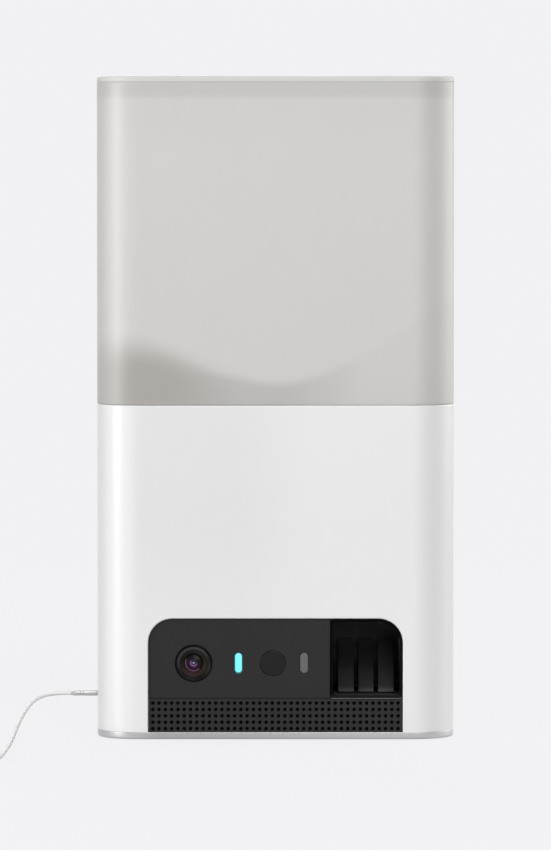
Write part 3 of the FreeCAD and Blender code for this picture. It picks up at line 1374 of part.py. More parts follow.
def build():
    fill_sheet()
    base_plate()
    rubber_feet()
    base_screws()
    lower_housing()
    wall_mount_inserts()
    front_fascia()
    speaker_grille()
    speaker()
    lens()
    fascia_inserts()
    camera_board()
    toss_housing()
    toss_paddle()
    toss_sector()
    toss_pinion()
    toss_motor()
    toss_motor_strap()
    drop_duct()
    feed_deck()
    motor_bracket()
    feed_motor()
    feed_gears()
    feed_rotor()
    hopper()
    treat_container()
    lid_cover()
    lid_seal()
    main_board()
    setup_button()
    power_socket()
    power_plug()
    power_lead()
    usb_plug()
    doc.recompute()


def check():
    for item in doc.Objects:
        if "Invalid" in item.State or "Error" in item.State:
            raise ValueError("%s failed: %s" % (item.Label, item.State))
    for piece in PIECES:
        if piece.Shape.isNull() or not piece.Shape.isValid() or piece.Shape.Volume <= 0:
            raise ValueError("%s has no valid shape" % piece.Label)


def write():
    os.makedirs("parts", exist_ok=True)
    for piece in PIECES:
        piece.Shape.exportStep("parts/%s.step" % piece.Label)
    print(len(PIECES), "pieces written")


build()
check()
write()
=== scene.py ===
"""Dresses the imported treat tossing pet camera: finishes, detailed pieces, power lead and studio."""

import json
import math

import bmesh
import bpy
from bpy.props import FloatProperty, FloatVectorProperty, IntProperty, PointerProperty
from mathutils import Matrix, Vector

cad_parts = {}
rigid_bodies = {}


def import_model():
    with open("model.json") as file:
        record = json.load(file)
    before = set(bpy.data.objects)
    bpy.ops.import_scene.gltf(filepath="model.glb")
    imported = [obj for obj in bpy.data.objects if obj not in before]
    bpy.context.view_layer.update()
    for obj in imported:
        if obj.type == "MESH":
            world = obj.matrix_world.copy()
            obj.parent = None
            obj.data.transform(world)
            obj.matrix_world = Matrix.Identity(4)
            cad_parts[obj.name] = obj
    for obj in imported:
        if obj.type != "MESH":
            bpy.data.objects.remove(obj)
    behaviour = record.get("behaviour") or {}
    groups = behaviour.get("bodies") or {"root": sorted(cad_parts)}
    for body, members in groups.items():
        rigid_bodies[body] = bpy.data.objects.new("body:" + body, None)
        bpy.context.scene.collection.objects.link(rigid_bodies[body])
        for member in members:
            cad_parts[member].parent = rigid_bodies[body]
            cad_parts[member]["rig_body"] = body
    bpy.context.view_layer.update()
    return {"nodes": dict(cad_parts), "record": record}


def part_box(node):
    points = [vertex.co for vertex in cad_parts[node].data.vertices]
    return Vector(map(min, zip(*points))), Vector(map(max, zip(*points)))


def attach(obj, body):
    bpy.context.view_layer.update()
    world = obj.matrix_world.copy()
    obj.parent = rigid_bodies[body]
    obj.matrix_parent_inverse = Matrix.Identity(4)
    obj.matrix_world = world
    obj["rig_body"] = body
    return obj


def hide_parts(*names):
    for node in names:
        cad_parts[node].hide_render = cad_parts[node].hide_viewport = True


bl_info = {
    "name": "Treat Tossing Pet Camera",
    "version": (1, 0, 0),
    "blender": (4, 5, 0),
    "location": "3D View > Sidebar > Pet Camera",
    "description": "Finishes, detailed pieces, power lead and studio of a treat tossing pet camera",
    "category": "Object",
}

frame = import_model()
SLOT_OF = {row["node"]: row["material_slot"] for row in frame["record"]["subparts"]}
BODY_OF = {node: made["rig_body"] for node, made in frame["nodes"].items()}
MM = 0.001
# Faces that lie flatter than the first are one face. Edges sharper than the second may be rounded.
FLAT_ANGLE, EDGE_ANGLE = math.radians(0.4), math.radians(50)

# The camera that looks at the part: its place in metres, its tilt in degrees, its lens and sensor.
VIEW_PLACE, VIEW_TILT, VIEW_LENS, VIEW_SENSOR = (0.0, -2.6865, 0.270), 86.935, 278.0, 36.0

# The casing, as the solids have it, in millimetres: outline, heights of its edges, front opening.
HALF_WIDTH, HALF_DEPTH, CORNER = 72.5, 36.5, 17.0
BAND_LOW, BAND_TOP, SEAM, LID_SEAM, TOP = 0.5, 3.4, 136.0, 266.6, 269.0
OPENING_HALF, OPENING_TOP, FASCIA_FRONT = 51.8, 49.7, -35.5
# The grille's end tabs, how far they overlap the plate, and the plate's clearance to the foam.
GRILLE_TAB, TAB_OVERLAP, FOAM_CLEARANCE = 2.5, 0.1, 0.12
# The dust cloth: its thickness, and how far it stays inside the grille's sides, foot and top.
CLOTH_THICK, CLOTH_INSET = 0.1, (3.0, 0.2, 0.4)
# Bright part of a slot light: half its width, and its lower and upper end from the slot's middle.
LIT_WINDOW, GREY_WINDOW, SLOT_FADE = (1.33, -3.62, 4.14), (1.65, -3.75, 4.4), 0.15
# The pale lip under the mouth, a painted highlight on the mouth's lower edge: its ends, its middle's y
# and z, half its depth and half its height.
LIP_ENDS, LIP_MIDDLE, LIP_HALF_DEPTH, LIP_HALF_HEIGHT = (22.5, 51.1), (-35.35, 17.08), 0.4, 0.12
LIP_END_HALF_HEIGHT = 0.07
# The paddle's shaft, y and z, its fingers' sides, and a finger's length, eye and fuller foot.
PADDLE_HUB, PADDLE_LEAN = (-24.0, 21.2), math.radians(35.0)
FINGER_SIDES = ((25.4, 31.9), (33.7, 39.9), (41.7, 48.2))
FINGER_LENGTH, FINGER_EYE, FINGER_FOOT = 23.0, 2.4, 2.7
# The middle that the tool rings on the wall mount's inserts run about, in metres.
INSERT_MIDDLE = (0.03, 0, 0.095)
# Where the set-up button's flange rests on the rear wall, and how thick that flange is.
BUTTON_WALL, BUTTON_FLANGE = 34.3, 1.18
# Painted light and shade on the fingers and the chamber's walls: each pair is a height in millimetres,
# and how many times the black plastic's shade shows there.
FINGER_TONES = (
    (19.0, 60), (19.8, 21), (20.6, 9), (21.4, 4.4), (22.4, 3.5), (25.3, 4.0), (26.9, 4.0),
    (28.7, 3.1), (31.6, 2.4), (33.2, 2.6), (35.0, 3.1), (36.3, 3.7), (37.9, 5.2), (40.0, 8.0),
)  # fmt: skip
CHAMBER_TONES = (
    (18.0, 8), (19.2, 5), (20.2, 0.7), (27.0, 0.7), (29.0, 1.4), (31.0, 3), (32.5, 4.5),
    (34.0, 5), (35.6, 5.4), (37.3, 6.9), (39.0, 15.3), (40.6, 17.6), (42.4, 21.3), (44.0, 28),
    (45.7, 32), (48.0, 34),
)  # fmt: skip

# The lead's run from its plug to the coil, and from the coil to the charger plug, in metres.
LEAD_ROUTE = [
    (-0.084, 0.0, 0.016),
    (-0.0915, 0.0, 0.016),
    (-0.0983, -0.0062, 0.0144),
    (-0.1023, -0.017, 0.0102),
    (-0.1049, -0.031, 0.0054),
    (-0.1066, -0.046, 0.0008),
    (-0.1072, -0.075, 0.0008),
    (-0.1086, -0.112, 0.0008),
]
TAIL_ROUTE = [
    (-0.1538, -0.117, 0.0049),
    (-0.1532, -0.110, 0.0026),
    (-0.1526, -0.102, 0.0022),
    (-0.1524, -0.095, 0.0038),
    (-0.1524, -0.088, 0.004),
]
COIL_CENTRE = (-0.1335, -0.1242)
# Where each turn of the coil lies: how many diameters outside the middle, and its height in metres.
COIL_TURNS = [(2, 0.0008), (1, 0.0008), (0, 0.0008), (-1, 0.0008), (-2, 0.0008)]
COIL_TURNS += [(-1.5, 0.0023), (-0.5, 0.0023), (0.5, 0.0023), (1.5, 0.0023)]
COIL_TURNS += [(1, 0.0038), (0, 0.0038), (-1, 0.0038), (-0.5, 0.0053), (0.5, 0.0053)]
# The coil's first angle, the share of its last turn, and where a turn starts to shift to the next.
COIL_START, COIL_LAST_SHARE, COIL_SHIFT_FROM = math.radians(-20.0), 160.0 / 360.0, 0.7
# The tie's angle on the coil, its thickness in metres, and half the coil's bundle in millimetres.
TIE_ANGLE, TIE_THICK, BUNDLE_HALF_WIDTH, BUNDLE_HALF_HEIGHT = math.radians(200.0), 0.00045, 4.15, 3.0
# Middles in millimetres: the power plug's, y and z, and the charger plug's, x and z.
POWER_PLUG_MIDDLE, CHARGER_MIDDLE = (0.0, 16.0), (-152.4, 4.0)


# ---------------------------------------------------------------- sizes and colours for the user


def length(name, default, description):
    return FloatProperty(
        name=name, description=description, default=default, precision=5, unit="LENGTH"
    )


def colour(name, default, description):
    return FloatVectorProperty(
        name=name, description=description, default=default, size=3, min=0, max=1, subtype="COLOR"
    )


def level(name, default, description):
    return FloatProperty(name=name, description=description, default=default, min=0)


class CasingSizes(bpy.types.PropertyGroup):
    """Roundings of outer edges"""

    seam_round: length("Seam rounding", 0.0005, "Edges on both sides of a seam")
    opening_round: length("Opening rounding", 0.0006, "Edge round the front opening")
    lid_round: length("Lid rounding", 0.0007, "Top edge of the lid")
    base_round: length("Base rounding", 0.0008, "Lower edge of the base band")
    finger_round: length("Finger rounding", 0.0004, "Edges of the toss fingers")


class GrilleSizes(bpy.types.PropertyGroup):
    """Perforation of the speaker grille"""

    columns: IntProperty(name="Columns", description="Holes across", default=40, min=1)
    rows: IntProperty(name="Rows", description="Holes up", default=5, min=1)
    pitch_x: length("Pitch across", 0.00255, "Between two holes, across")
    pitch_z: length("Pitch up", 0.0026, "Between two holes, up")
    hole: length("Hole radius", 0.0007, "Radius of a hole")
    sink: length("Countersink", 0.00018, "Width and depth of the rounding at a hole")


class LeadSizes(bpy.types.PropertyGroup):
    """The power lead and its coil"""

    diameter: length("Diameter", 0.0016, "Jacket of the lead")
    coil_radius: length("Coil radius", 0.0192, "Middle of the coil's turns")
    turn_points: IntProperty(name="Points a turn", description="Control points", default=16, min=12)
    tie_width: length("Tie width", 0.005, "Strap that holds the coil")


class FinishColours(bpy.types.PropertyGroup):
    """Base colours of the finishes"""

    shell: colour("White shell", (0.8, 0.8, 0.802), "Lower housing")
    lid: colour("Lid", (0.59, 0.585, 0.573), "Lid")
    frosted: colour("Frosted shell", (0.582, 0.573, 0.547), "Treat container")
    # The warm patch is a darker warm colour painted at the lower left of the container's front wall.
    warm_patch: colour("Seen treats", (0.355, 0.338, 0.312), "Treats that show dimly through the container")
    band: colour("Base band", (0.39, 0.39, 0.394), "Silver band at the foot")
    face: colour("Black face", (0.0085, 0.0085, 0.0088), "Fascia and grille")
    chamber: colour("Black plastic", (0.006, 0.006, 0.0062), "Toss chamber and inner parts")
    lit: colour("Lit slot", (0.2, 0.93, 1.0), "Status light")
    board: colour("Solder mask", (0.02, 0.11, 0.06), "Circuit boards")
    jacket: colour("Lead", (0.76, 0.76, 0.76), "Power lead")


class StudioLevels(bpy.types.PropertyGroup):
    """Backdrop and lamps"""

    backdrop: colour("Backdrop", (0.88, 0.88, 0.896), "Floor and background as seen")
    ambient: level("Ambient", 0.15, "Even light from all round")
    front: level("Front lamp", 46.5, "Large soft lamp in front, a little to the right, in watts")
    left: level("Left lamp", 24.0, "Wide low lamp at the left, in watts")
    right: level("Right lamp", 27.0, "Soft lamp at the right and behind, in watts")
    over: level("Top lamp", 3.0, "Soft lamp above, in watts")
    back: level("Back lamp", 22.0, "Large soft lamp behind, in watts")


class PetCameraSettings(bpy.types.PropertyGroup):
    """Everything that a user would change"""

    casing: PointerProperty(type=CasingSizes)
    grille: PointerProperty(type=GrilleSizes)
    lead: PointerProperty(type=LeadSizes)
    colours: PointerProperty(type=FinishColours)
    studio: PointerProperty(type=StudioLevels)


def settings():
    return bpy.context.scene.pet_camera


def chosen(name):
    """A colour of the user's."""
    return tuple(getattr(settings().colours, name))


# ---------------------------------------------------------------- shader maths


class Wire:
    """An output of a node. Expressions on wires add the nodes that work them out."""

    def __init__(self, tree, socket=None):
        self.tree, self.socket = tree, socket

    def node(self, kind, settings=(), values=(), out=0):
        """Adds a node: its settings first, then the numbers or links of its sockets."""
        made = self.tree.nodes.new(kind)
        for key, value in dict(settings).items():
            if key == "stops":
                stops = made.color_ramp.elements
                stops.remove(stops[1])
                stops[0].position, stops[0].color = value[0][0], (*value[0][1], 1)
                for place, shade in value[1:]:
                    stops.new(place).color = (*shade, 1)
            else:
                setattr(made, key, value)
        for key, value in dict(values).items():
            if isinstance(value, Wire):
                self.tree.links.new(value.socket, made.inputs[key])
            else:
                made.inputs[key].default_value = value
        return Wire(self.tree, made.outputs[out])

    def maths(self, operation, *others):
        return self.node("ShaderNodeMath", {"operation": operation}, enumerate((self, *others)))

    def swapped(self, operation, other):
        """Maths with the other value first."""
        return self.node("ShaderNodeMath", {"operation": operation}, enumerate((other, self)))

    def __add__(self, other):
        return self.maths("ADD", other)

    def __sub__(self, other):
        return self.maths("SUBTRACT", other)

    def __mul__(self, other):
        return self.maths("MULTIPLY", other)

    def __truediv__(self, other):
        return self.maths("DIVIDE", other)

    def __pow__(self, power):
        return self.maths("POWER", power)

    def __rsub__(self, other):
        return self.swapped("SUBTRACT", other)

    def __rtruediv__(self, other):
        return self.swapped("DIVIDE", other)

    def __rpow__(self, other):
        return self.swapped("POWER", other)

    __radd__, __rmul__ = __add__, __mul__

    def at(self, *middle):
        """The same place, counted from another middle in metres."""
        return self.node(
            "ShaderNodeMapping", values={"Vector": self, "Location": [-part for part in middle]}
        )

    def axis(self, name):
        return self.node("ShaderNodeSeparateXYZ", values={"Vector": self}, out=name)

    def around(self, middle, across="XZ"):
        """Both coordinates across an axis through a middle, and the distance from that axis."""
        off = self.at(*middle)
        first, second = (off.axis(name) for name in across)
        return first, second, (first * first + second * second) ** 0.5

    def noise(self, scale, detail=2.0):
        return self.node(
            "ShaderNodeTexNoise", values={"Vector": self, "Scale": scale, "Detail": detail}
        )

    def cells(self, scale):
        return self.node("ShaderNodeTexVoronoi", values={"Vector": self, "Scale": scale})

    def step(self, low, high):
        """From 0 at low to 1 at high, smoothly."""
        return self.node(
            "ShaderNodeMapRange",
            {"interpolation_type": "SMOOTHSTEP"},
            {"Value": self, "From Min": low, "From Max": high},
        )

    def shade(self, dark, light):
        """Between two colours, by this wire's 0 to 1. A colour may be a wire."""
        ends = [end if isinstance(end, Wire) else (*end, 1) for end in (dark, light)]
        return self.node(
            "ShaderNodeMix", {"data_type": "RGBA"}, {0: self, 6: ends[0], 7: ends[1]}, out=2
        )

    def ramp(self, *stops):
        return self.node("ShaderNodeValToRGB", {"stops": stops}, {0: self})

    def relief(self, depth, strength=1.0):
        """This wire as a height of the surface."""
        return self.node(
            "ShaderNodeBump", values={"Strength": strength, "Distance": depth, "Height": self}
        )


def times(shade, factor):
    return tuple(min(1.0, part * factor) for part in shade)


def by_height(z, shade, tones):
    """A colour in tones that follow the height."""
    low, high = tones[0][0], tones[-1][0]
    stops = [((at - low) / (high - low), times(shade, tone)) for at, tone in tones]
    return ((z - low * MM) / ((high - low) * MM)).ramp(*stops)


def layered(body, *layers):
    """A colour with others laid over it, each by its own 0 to 1."""
    for share, shade in layers:
        body = share.shade(body, shade)
    return body


def looks(shade, roughness, height, depth):
    """What most patterns feed: a colour, a roughness and a fine relief."""
    return {"Base Color": shade, "Roughness": roughness, "Normal": height.relief(depth)}


# ---------------------------------------------------------------- patterns


def pattern(paint):
    """Lets a pattern take its colours first, and the place on the surface once it has a material."""

    def given(*values, **named):
        return lambda place: paint(place, *values, **named)

    return given


@pattern
def moulded(place, shade, roughness, grain=1400.0, depth=0.00001, drift=0.02):
    """Moulded plastic: spark-eroded grain with a slow drift in shade and gloss."""
    grains, slow = place.noise(grain), place.noise(16.0)
    body = slow.shade(times(shade, 1 - drift), times(shade, 1 + drift))
    return looks(body, (grains - 0.5) * 0.16 + (slow - 0.5) * 0.08 + roughness, grains, depth)


def sides(place):
    """1 on the casing's side walls, less on the right one, and 0 in front and at the back: where shade is
    painted on the sides.
    """
    x = place.axis("X")
    return x.step(-0.067, -0.0715) + x.step(0.068, 0.072) * 0.5


@pattern
def shell_pattern(place, shade, roughness):
    """White shell: fine grain over a faint drift, painted shade a trace greyer at the left of the front
    and on the sides, and painted light a trace paler low down.
    """
    x, y, z = (place.axis(name) for name in "XYZ")
    grains, slow = place.noise(1400.0), place.noise(16.0)
    # Where shade is painted on the left half of the front.
    left = x.step(0.02, -0.02) * x.step(-0.061, -0.053) * y.step(-0.034, -0.036) * z.step(0.01, 0.1)
    # Painted light makes the shell paler low down, and painted shade makes it greyer at the left and on
    # the sides.
    body = layered(
        slow.shade(times(shade, 0.994), times(shade, 1.006)),
        (z.step(0.1, 0.015), times(shade, 1.035)),
        (left * 0.4 + sides(place) * 0.55, times(shade, 0.84)),
    )
    return looks(body, (grains - 0.5) * 0.16 + (slow - 0.5) * 0.08 + roughness, grains, 0.00001)


@pattern
def turned(place, shade, roughness, middle, pitch=0.00012):
    """Turned metal: fine tool rings about an axis that runs from front to back."""
    _, _, out = place.around(middle)
    rings = (out * (math.tau / pitch)).maths("SINE")
    body = place.noise(60.0).shade(times(shade, 0.9), times(shade, 1.1))
    return looks(body, rings * 0.05 + roughness, rings, 0.000004)


@pattern
def drawn(place, shade, roughness, stretch):
    """Rolled or drawn metal: fine lines along the short side of stretch."""
    lines = place.node("ShaderNodeMapping", values={"Vector": place, "Scale": stretch})
    lines, smear = lines.noise(120.0, 3.0), place.noise(90.0)
    body = smear.shade(times(shade, 0.86), times(shade, 1.08))
    return looks(body, (lines - 0.5) * 0.3 + smear * 0.1 + roughness, lines, 0.000003)


@pattern
def frosted_pattern(place, shade, warm_patch):
    """The frosted wall, on which the funnel's contact line and the lid's rim show dimly, with painted
    shade below the funnel's line, low down and on the sides, and a darker warm patch at the lower left.
    """
    x, y, z = (place.axis(name) for name in "XYZ")
    out = (x * x + y * y) ** 0.5
    # The funnel meets the wall along a line that climbs away from the middle, and then levels out.
    line = (out - 0.031) * 0.82 + 0.1402 + (x + 0.014).maths("MINIMUM", 0.0) * 0.2
    over_line = z - line.maths("SMOOTH_MIN", x.step(-0.02, 0.03) * 0.04 + 0.1592, 0.004)
    softness = x.step(-0.02, -0.06) * 0.006 + 0.0024
    strength = x.step(0.038, 0.018) * 0.34 + x.step(0.02, 0.002) * 0.26 + 0.08
    # Painted shade below the funnel's line, strongest at the left.
    under = (over_line / softness).step(1.0, -1.0) * strength
    # A darker warm patch at the lower left, on the front wall only.
    warm_patch_mask = x.step(-0.008, -0.046) * x.step(-0.0705, -0.0575) * z.step(0.17, 0.15)
    warm_patch_mask = warm_patch_mask * y.step(0.02, -0.02) * over_line.step(0.0095, -0.0085)
    lid_rim = z.step(0.235, 0.262) * 0.1 + z.step(0.2588, 0.2624) * 0.4
    foot = z.step(0.1385, 0.1362) * (x.step(0.03, -0.01) * 0.2 + 0.15)
    haze, grain = place.noise(26.0, 3.0), place.noise(1800.0)
    # Layers: painted shade below the funnel's line and low down, painted shade on the sides, the warm
    # patch, the lid's rim, and a darker strip just above the seam.
    body = layered(
        haze.shade(times(shade, 0.985), times(shade, 1.015)),
        (under + z.step(0.155, 0.137) * 0.08, times(shade, 0.7)),
        (sides(place) * 0.3, times(shade, 0.7)),
        (warm_patch_mask * 0.9, warm_patch),
        (lid_rim, times(shade, 0.72)),
        (foot, times(shade, 0.7)),
    )
    return looks(body, (grain - 0.5) * 0.14 + haze * 0.08 + 0.4, grain, 0.000012)


@pattern
def band_pattern(place, shade):
    """Silver paint: fine flakes that catch the light, with painted highlights to the right and at both
    ends.
    """
    flakes, slow = place.cells(5200.0), place.noise(30.0)
    x, z = place.axis("X"), place.axis("Z")
    # Painted highlights on the front towards the right and at both ends, kept off the underside.
    ends = x.step(-0.05, 0.06) * 0.4 + x.step(-0.0465, -0.0605) * 0.6 + x.step(0.058, 0.067) * 0.4
    pale = flakes * 0.2 + ends * z.step(0.0005, 0.001)
    body = pale.shade(times(shade, 0.86), times(shade, 1.4))
    return looks(body, flakes * 0.2 + slow * 0.06 + 0.24, flakes, 0.000006)


@pattern
def face_pattern(place, shade, lip_shadow=False):
    """Black face: satin grain. On the grille a painted shadow darkens the seam under the mouth's lip."""
    grain, slow = place.noise(1700.0), place.noise(22.0)
    body = slow.shade(times(shade, 0.9), times(shade, 1.12))
    if lip_shadow:
        # Painted shadow in the seam under the mouth's lip.
        seam = place.axis("Z").step(0.0162, 0.0164) * place.axis("X").step(0.0217, 0.0222)
        body = (seam * 0.9).shade(body, (0.0, 0.0, 0.0))
    return looks(body, (grain - 0.5) * 0.2 + slow * 0.08 + 0.42, grain, 0.000009)


@pattern
def board_pattern(place, mask):
    """Circuit board: solder mask over copper runs, with bare pads in rows."""
    upright = place.node(
        "ShaderNodeMapping", values={"Vector": place, "Rotation": (math.pi / 2, 0, 0)}
    )
    bricks = {"Scale": 260.0, "Mortar Size": 0.035, "Brick Width": 0.9, "Row Height": 0.34}
    runs = place.node(
        "ShaderNodeTexBrick",
        {"offset": 0.37, "squash": 0.6, "squash_frequency": 3},
        {"Vector": upright, **bricks},
        out="Fac",
    )
    pads = place.cells(330.0).step(0.24, 0.2)
    body = layered(runs.shade(mask, times(mask, 2.1)), (pads * 0.85, (0.62, 0.56, 0.42)))
    fed = looks(body, pads * 0.1 + 0.32, runs * 0.6 + pads, 0.00003)
    return {**fed, "Metallic": pads * 0.8}


@pattern
def foam_pattern(place, shade):
    """Open foam: cells of all sizes."""
    cells = place.cells(1500.0) + place.cells(2700.0) * 0.5
    return {
        "Base Color": cells.step(0.1, 0.8).shade(times(shade, 0.4), times(shade, 1.5)),
        "Normal": cells.relief(0.0002, 0.8),
    }


@pattern
def lens_ring_pattern(place, middle):
    """Lens bezel: wide black outer edge, and a satin turned cone inside it, with painted light making it
    grey at its upper left.
    """
    x, z, out = place.around(middle)
    rings = (out * 52000.0).maths("SINE")
    painted_light_upper_left = (z * 0.9 - x * 0.35).step(-0.0035, 0.0065)
    cone = painted_light_upper_left.shade((0.003, 0.003, 0.003), (0.068, 0.068, 0.069))
    body = out.step(0.0068, 0.0065).shade((0.001, 0.001, 0.001), cone)
    return looks(body, rings * 0.04 + 0.4, rings, 0.000003)


@pattern
def lens_glass_pattern(place, middle):
    """Coated lens, with painted reflections: a dark bowl, a violet iris painted as lit from below, a pale
    painted centre, painted shade on the upper half, darker and warmer at the right, and a pink painted
    reflection low left.
    """
    x, z, out = place.around(middle)
    # Rings of painted reflections in the lens's coating, from the pale centre outwards.
    rings = (out * 250.0).ramp(
        (0.0, (0.62, 0.55, 0.68)),
        (0.07, (0.4, 0.32, 0.48)),
        (0.12, (0.03, 0.012, 0.045)),
        (0.2, (0.02, 0.006, 0.03)),
        (0.27, (0.2, 0.13, 0.24)),
        (0.32, (0.24, 0.16, 0.28)),
        (0.38, (0.06, 0.018, 0.08)),
        (0.52, (0.03, 0.007, 0.04)),
        (0.74, (0.011, 0.003, 0.014)),
        (1.0, (0.005, 0.0035, 0.0045)),
    )
    # Painted shade over the upper half, and a darker warmer tone at the right.
    upper = (z + x * 0.4).step(-0.0004, 0.0009) * out.step(0.0004, 0.0007)
    right = x.step(0.0014, 0.003) * out.step(0.0018, 0.0026)
    pink_reflection = out.step(0.00295, 0.0032) * out.step(0.0037, 0.0034)
    low_left = (x * 0.6 + z * 0.8).step(0.0002, -0.0016)
    body = layered(
        rings,
        (upper * 0.86, (0.007, 0.006, 0.008)),
        (right * 0.75, (0.016, 0.011, 0.004)),
        (pink_reflection * low_left * 0.9, (0.32, 0.16, 0.22)),
    )
    return {"Base Color": body, "Roughness": out * 12.0 + 0.07}


@pattern
def barrel_pattern(place, middle):
    """Dark bowl round the lens: baffle rings, with a painted warm reflection low down and at the right,
    and painted light making it greyer at the top.
    """
    x, z, out = place.around(middle)
    rings = (out * 15700.0).maths("SINE")
    body = layered(
        (z + x * 0.3).step(0.001, -0.0045).shade((0.006, 0.0055, 0.005), (0.026, 0.01, 0.01)),
        (x.step(0.002, 0.005) * 0.8, (0.02, 0.015, 0.006)),
        (z.step(0.0022, 0.0046) * 0.8, (0.024, 0.023, 0.023)),
    )
    return looks(body, rings * 0.06 + 0.42, rings, 0.00001)


@pattern
def chamber_pattern(place, shade):
    """Toss chamber: near black, with painted light and shade by height on the walls inside, paler above
    the fingers, painted shade on the front rim, and painted light on the rim's foot and right edge.
    """
    x, y, z = (place.axis(name) for name in "XYZ")
    grain, slow = place.noise(1100.0), place.noise(20.0)
    # Painted light and shade by height on the walls inside.
    walls = (slow * 0.3).shade(by_height(z, shade, CHAMBER_TONES), shade)
    rim_painted_light = (x.step(0.0502, 0.0507) * 0.4).maths("MAXIMUM", z.step(0.0186, 0.0183))
    rim = rim_painted_light.shade(times(shade, 0.2), times(shade, 1.6))
    body = y.step(-0.0353, -0.0346).shade(rim, walls)
    return looks(body, (grain - 0.5) * 0.16 + slow * 0.08 + 0.36, grain, 0.00001)


@pattern
def finger_pattern(place, shade, hub):
    """Toss fingers: satin black, with painted light by height, paler towards their lower ends and on the
    last finger's upper part, on a shaft darkened by painted shade.
    """
    _, over_hub, out = place.around(hub, "YZ")
    grain, slow = place.noise(900.0), place.noise(60.0)
    last_finger_painted_light = place.axis("X").step(0.0405, 0.0417) * over_hub.step(0.002, 0.01)
    finger_painted_light = layered(
        by_height(place.axis("Z"), shade, FINGER_TONES),
        (slow * 0.16, times(shade, 3.0)),
        (last_finger_painted_light * 0.35, times(shade, 10.0)),
    )
    # Painted shade darkens the shaft.
    body = out.step(0.0017, 0.0022).shade(times(shade, 0.1), finger_painted_light)
    return looks(body, (grain - 0.5) * 0.16 + slow * 0.1 + 0.34, grain, 0.00001)


@pattern
def slot_pattern(place, shade, dim, middle, window, glows=False):
    """Slot light: a shade that fades to a dim one before the diffuser's edge, most at its foot."""
    half_width, low, high = window
    off, wave = place.at(*middle), place.noise(900.0)
    x, z = off.axis("X"), off.axis("Z")
    spine = (high - low) / 2 - half_width
    past_spine = ((z - (high + low) / 2 * MM).maths("ABSOLUTE") - spine * MM).maths("MAXIMUM", 0.0)
    out = (x * x + past_spine * past_spine) ** 0.5
    bright = out.step((half_width + SLOT_FADE) * MM, (half_width - SLOT_FADE) * MM).shade(dim, shade)
    fed = {"Base Color": bright, "Roughness": wave * 0.1 + 0.27}
    if glows:
        unlit = wave.shade(times(shade, 0.05), times(shade, 0.08))
        fed.update({"Base Color": unlit, "Emission Color": bright})
    return fed


# ---------------------------------------------------------------- finishes

FINISHES = {}


def finish(name, shade, roughness, paint, **fixed):
    """A procedural material. Fixed numbers go on the shader's own sockets, with _ for each space."""
    material = bpy.data.materials.new(name)
    material.use_nodes = True
    tree = material.node_tree
    shader = tree.nodes["Principled BSDF"].inputs
    shader["Base Color"].default_value = (*shade, 1)
    shader["Roughness"].default_value = roughness
    for key, value in fixed.items():
        shader[key.replace("_", " ")].default_value = value
    place = Wire(tree).node("ShaderNodeTexCoord", out="Object")
    for key, wire in paint(place).items():
        tree.links.new(wire.socket, shader[key])
    return material


def front_middle(node):
    """A node's middle as the front shows it: x, 0 and z, in metres."""
    low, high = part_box(node)
    return (low.x + high.x) / 2, 0.0, (low.z + high.z) / 2


def add_finish(slot, name, shade, roughness, paint, **fixed):
    """Keeps a finish for one of the record's material slots."""
    FINISHES[slot] = finish(name, shade, roughness, paint, **fixed)


def add_moulded(slot, name, shade, roughness, *grain, drift=0.02, **fixed):
    """Keeps a moulded plastic. Grain is its scale, and its depth where that isn't the usual one."""
    paint = moulded(shade, roughness, *grain, drift=drift)
    add_finish(slot, name, shade, roughness, paint, **fixed)


def casing_finishes():
    """White shell, frosted container, silver band, and the black face with its grille."""
    shell, frosted, band, face = (chosen(name) for name in ("shell", "frosted", "band", "face"))
    add_finish(
        "white_shell", "satin_white_shell", shell, 0.32, shell_pattern(shell, 0.32),
        Coat_Weight=0.25, Coat_Roughness=0.16,
    )  # fmt: skip
    add_finish(
        "frosted_shell", "frosted_container", frosted, 0.36,
        frosted_pattern(frosted, chosen("warm_patch")), Coat_Weight=0.15, Coat_Roughness=0.42,
    )  # fmt: skip
    add_finish("metallic_base", "silver_band_paint", band, 0.4, band_pattern(band), Metallic=0.9)
    grille = face_pattern(times(face, 1.05), lip_shadow=True)
    for slot, paint in (("black_face", face_pattern(face)), ("black_grille", grille)):
        add_finish(slot, "satin_" + slot, face, 0.45, paint, Specular_IOR_Level=0.26)


def lens_and_light_finishes():
    """Lens ring and glass, the two slot lights and the sensor's window."""
    lens, lit, grey = front_middle("lens_bezel"), chosen("lit"), (0.09,) * 3
    status, infrared = front_middle("status_light"), front_middle("infrared_light")
    add_finish(
        "bezel_metal", "lens_ring_metal", (0.05,) * 3, 0.4, lens_ring_pattern(lens),
        Specular_IOR_Level=0.08,
    )  # fmt: skip
    add_finish(
        "lens_glass", "coated_lens_glass", (0.02,) * 3, 0.06, lens_glass_pattern(lens),
        Specular_IOR_Level=0.06, Coat_Weight=0.04, Coat_Roughness=0.06,
    )  # fmt: skip
    paint = slot_pattern(lit, times(lit, 0.1), status, LIT_WINDOW, glows=True)
    add_finish("lit_slot", "lit_slot_diffuser", lit, 0.3, paint, Emission_Strength=1.0)
    paint = slot_pattern(grey, (0.01,) * 3, infrared, GREY_WINDOW)
    add_finish(
        "grey_slot", "grey_slot_diffuser", grey, 0.3, paint, Coat_Weight=0.6, Coat_Roughness=0.08
    )
    add_moulded("dark_window", "dark_window", (0.007,) * 3, 0.16, 300, Specular_IOR_Level=0.22)


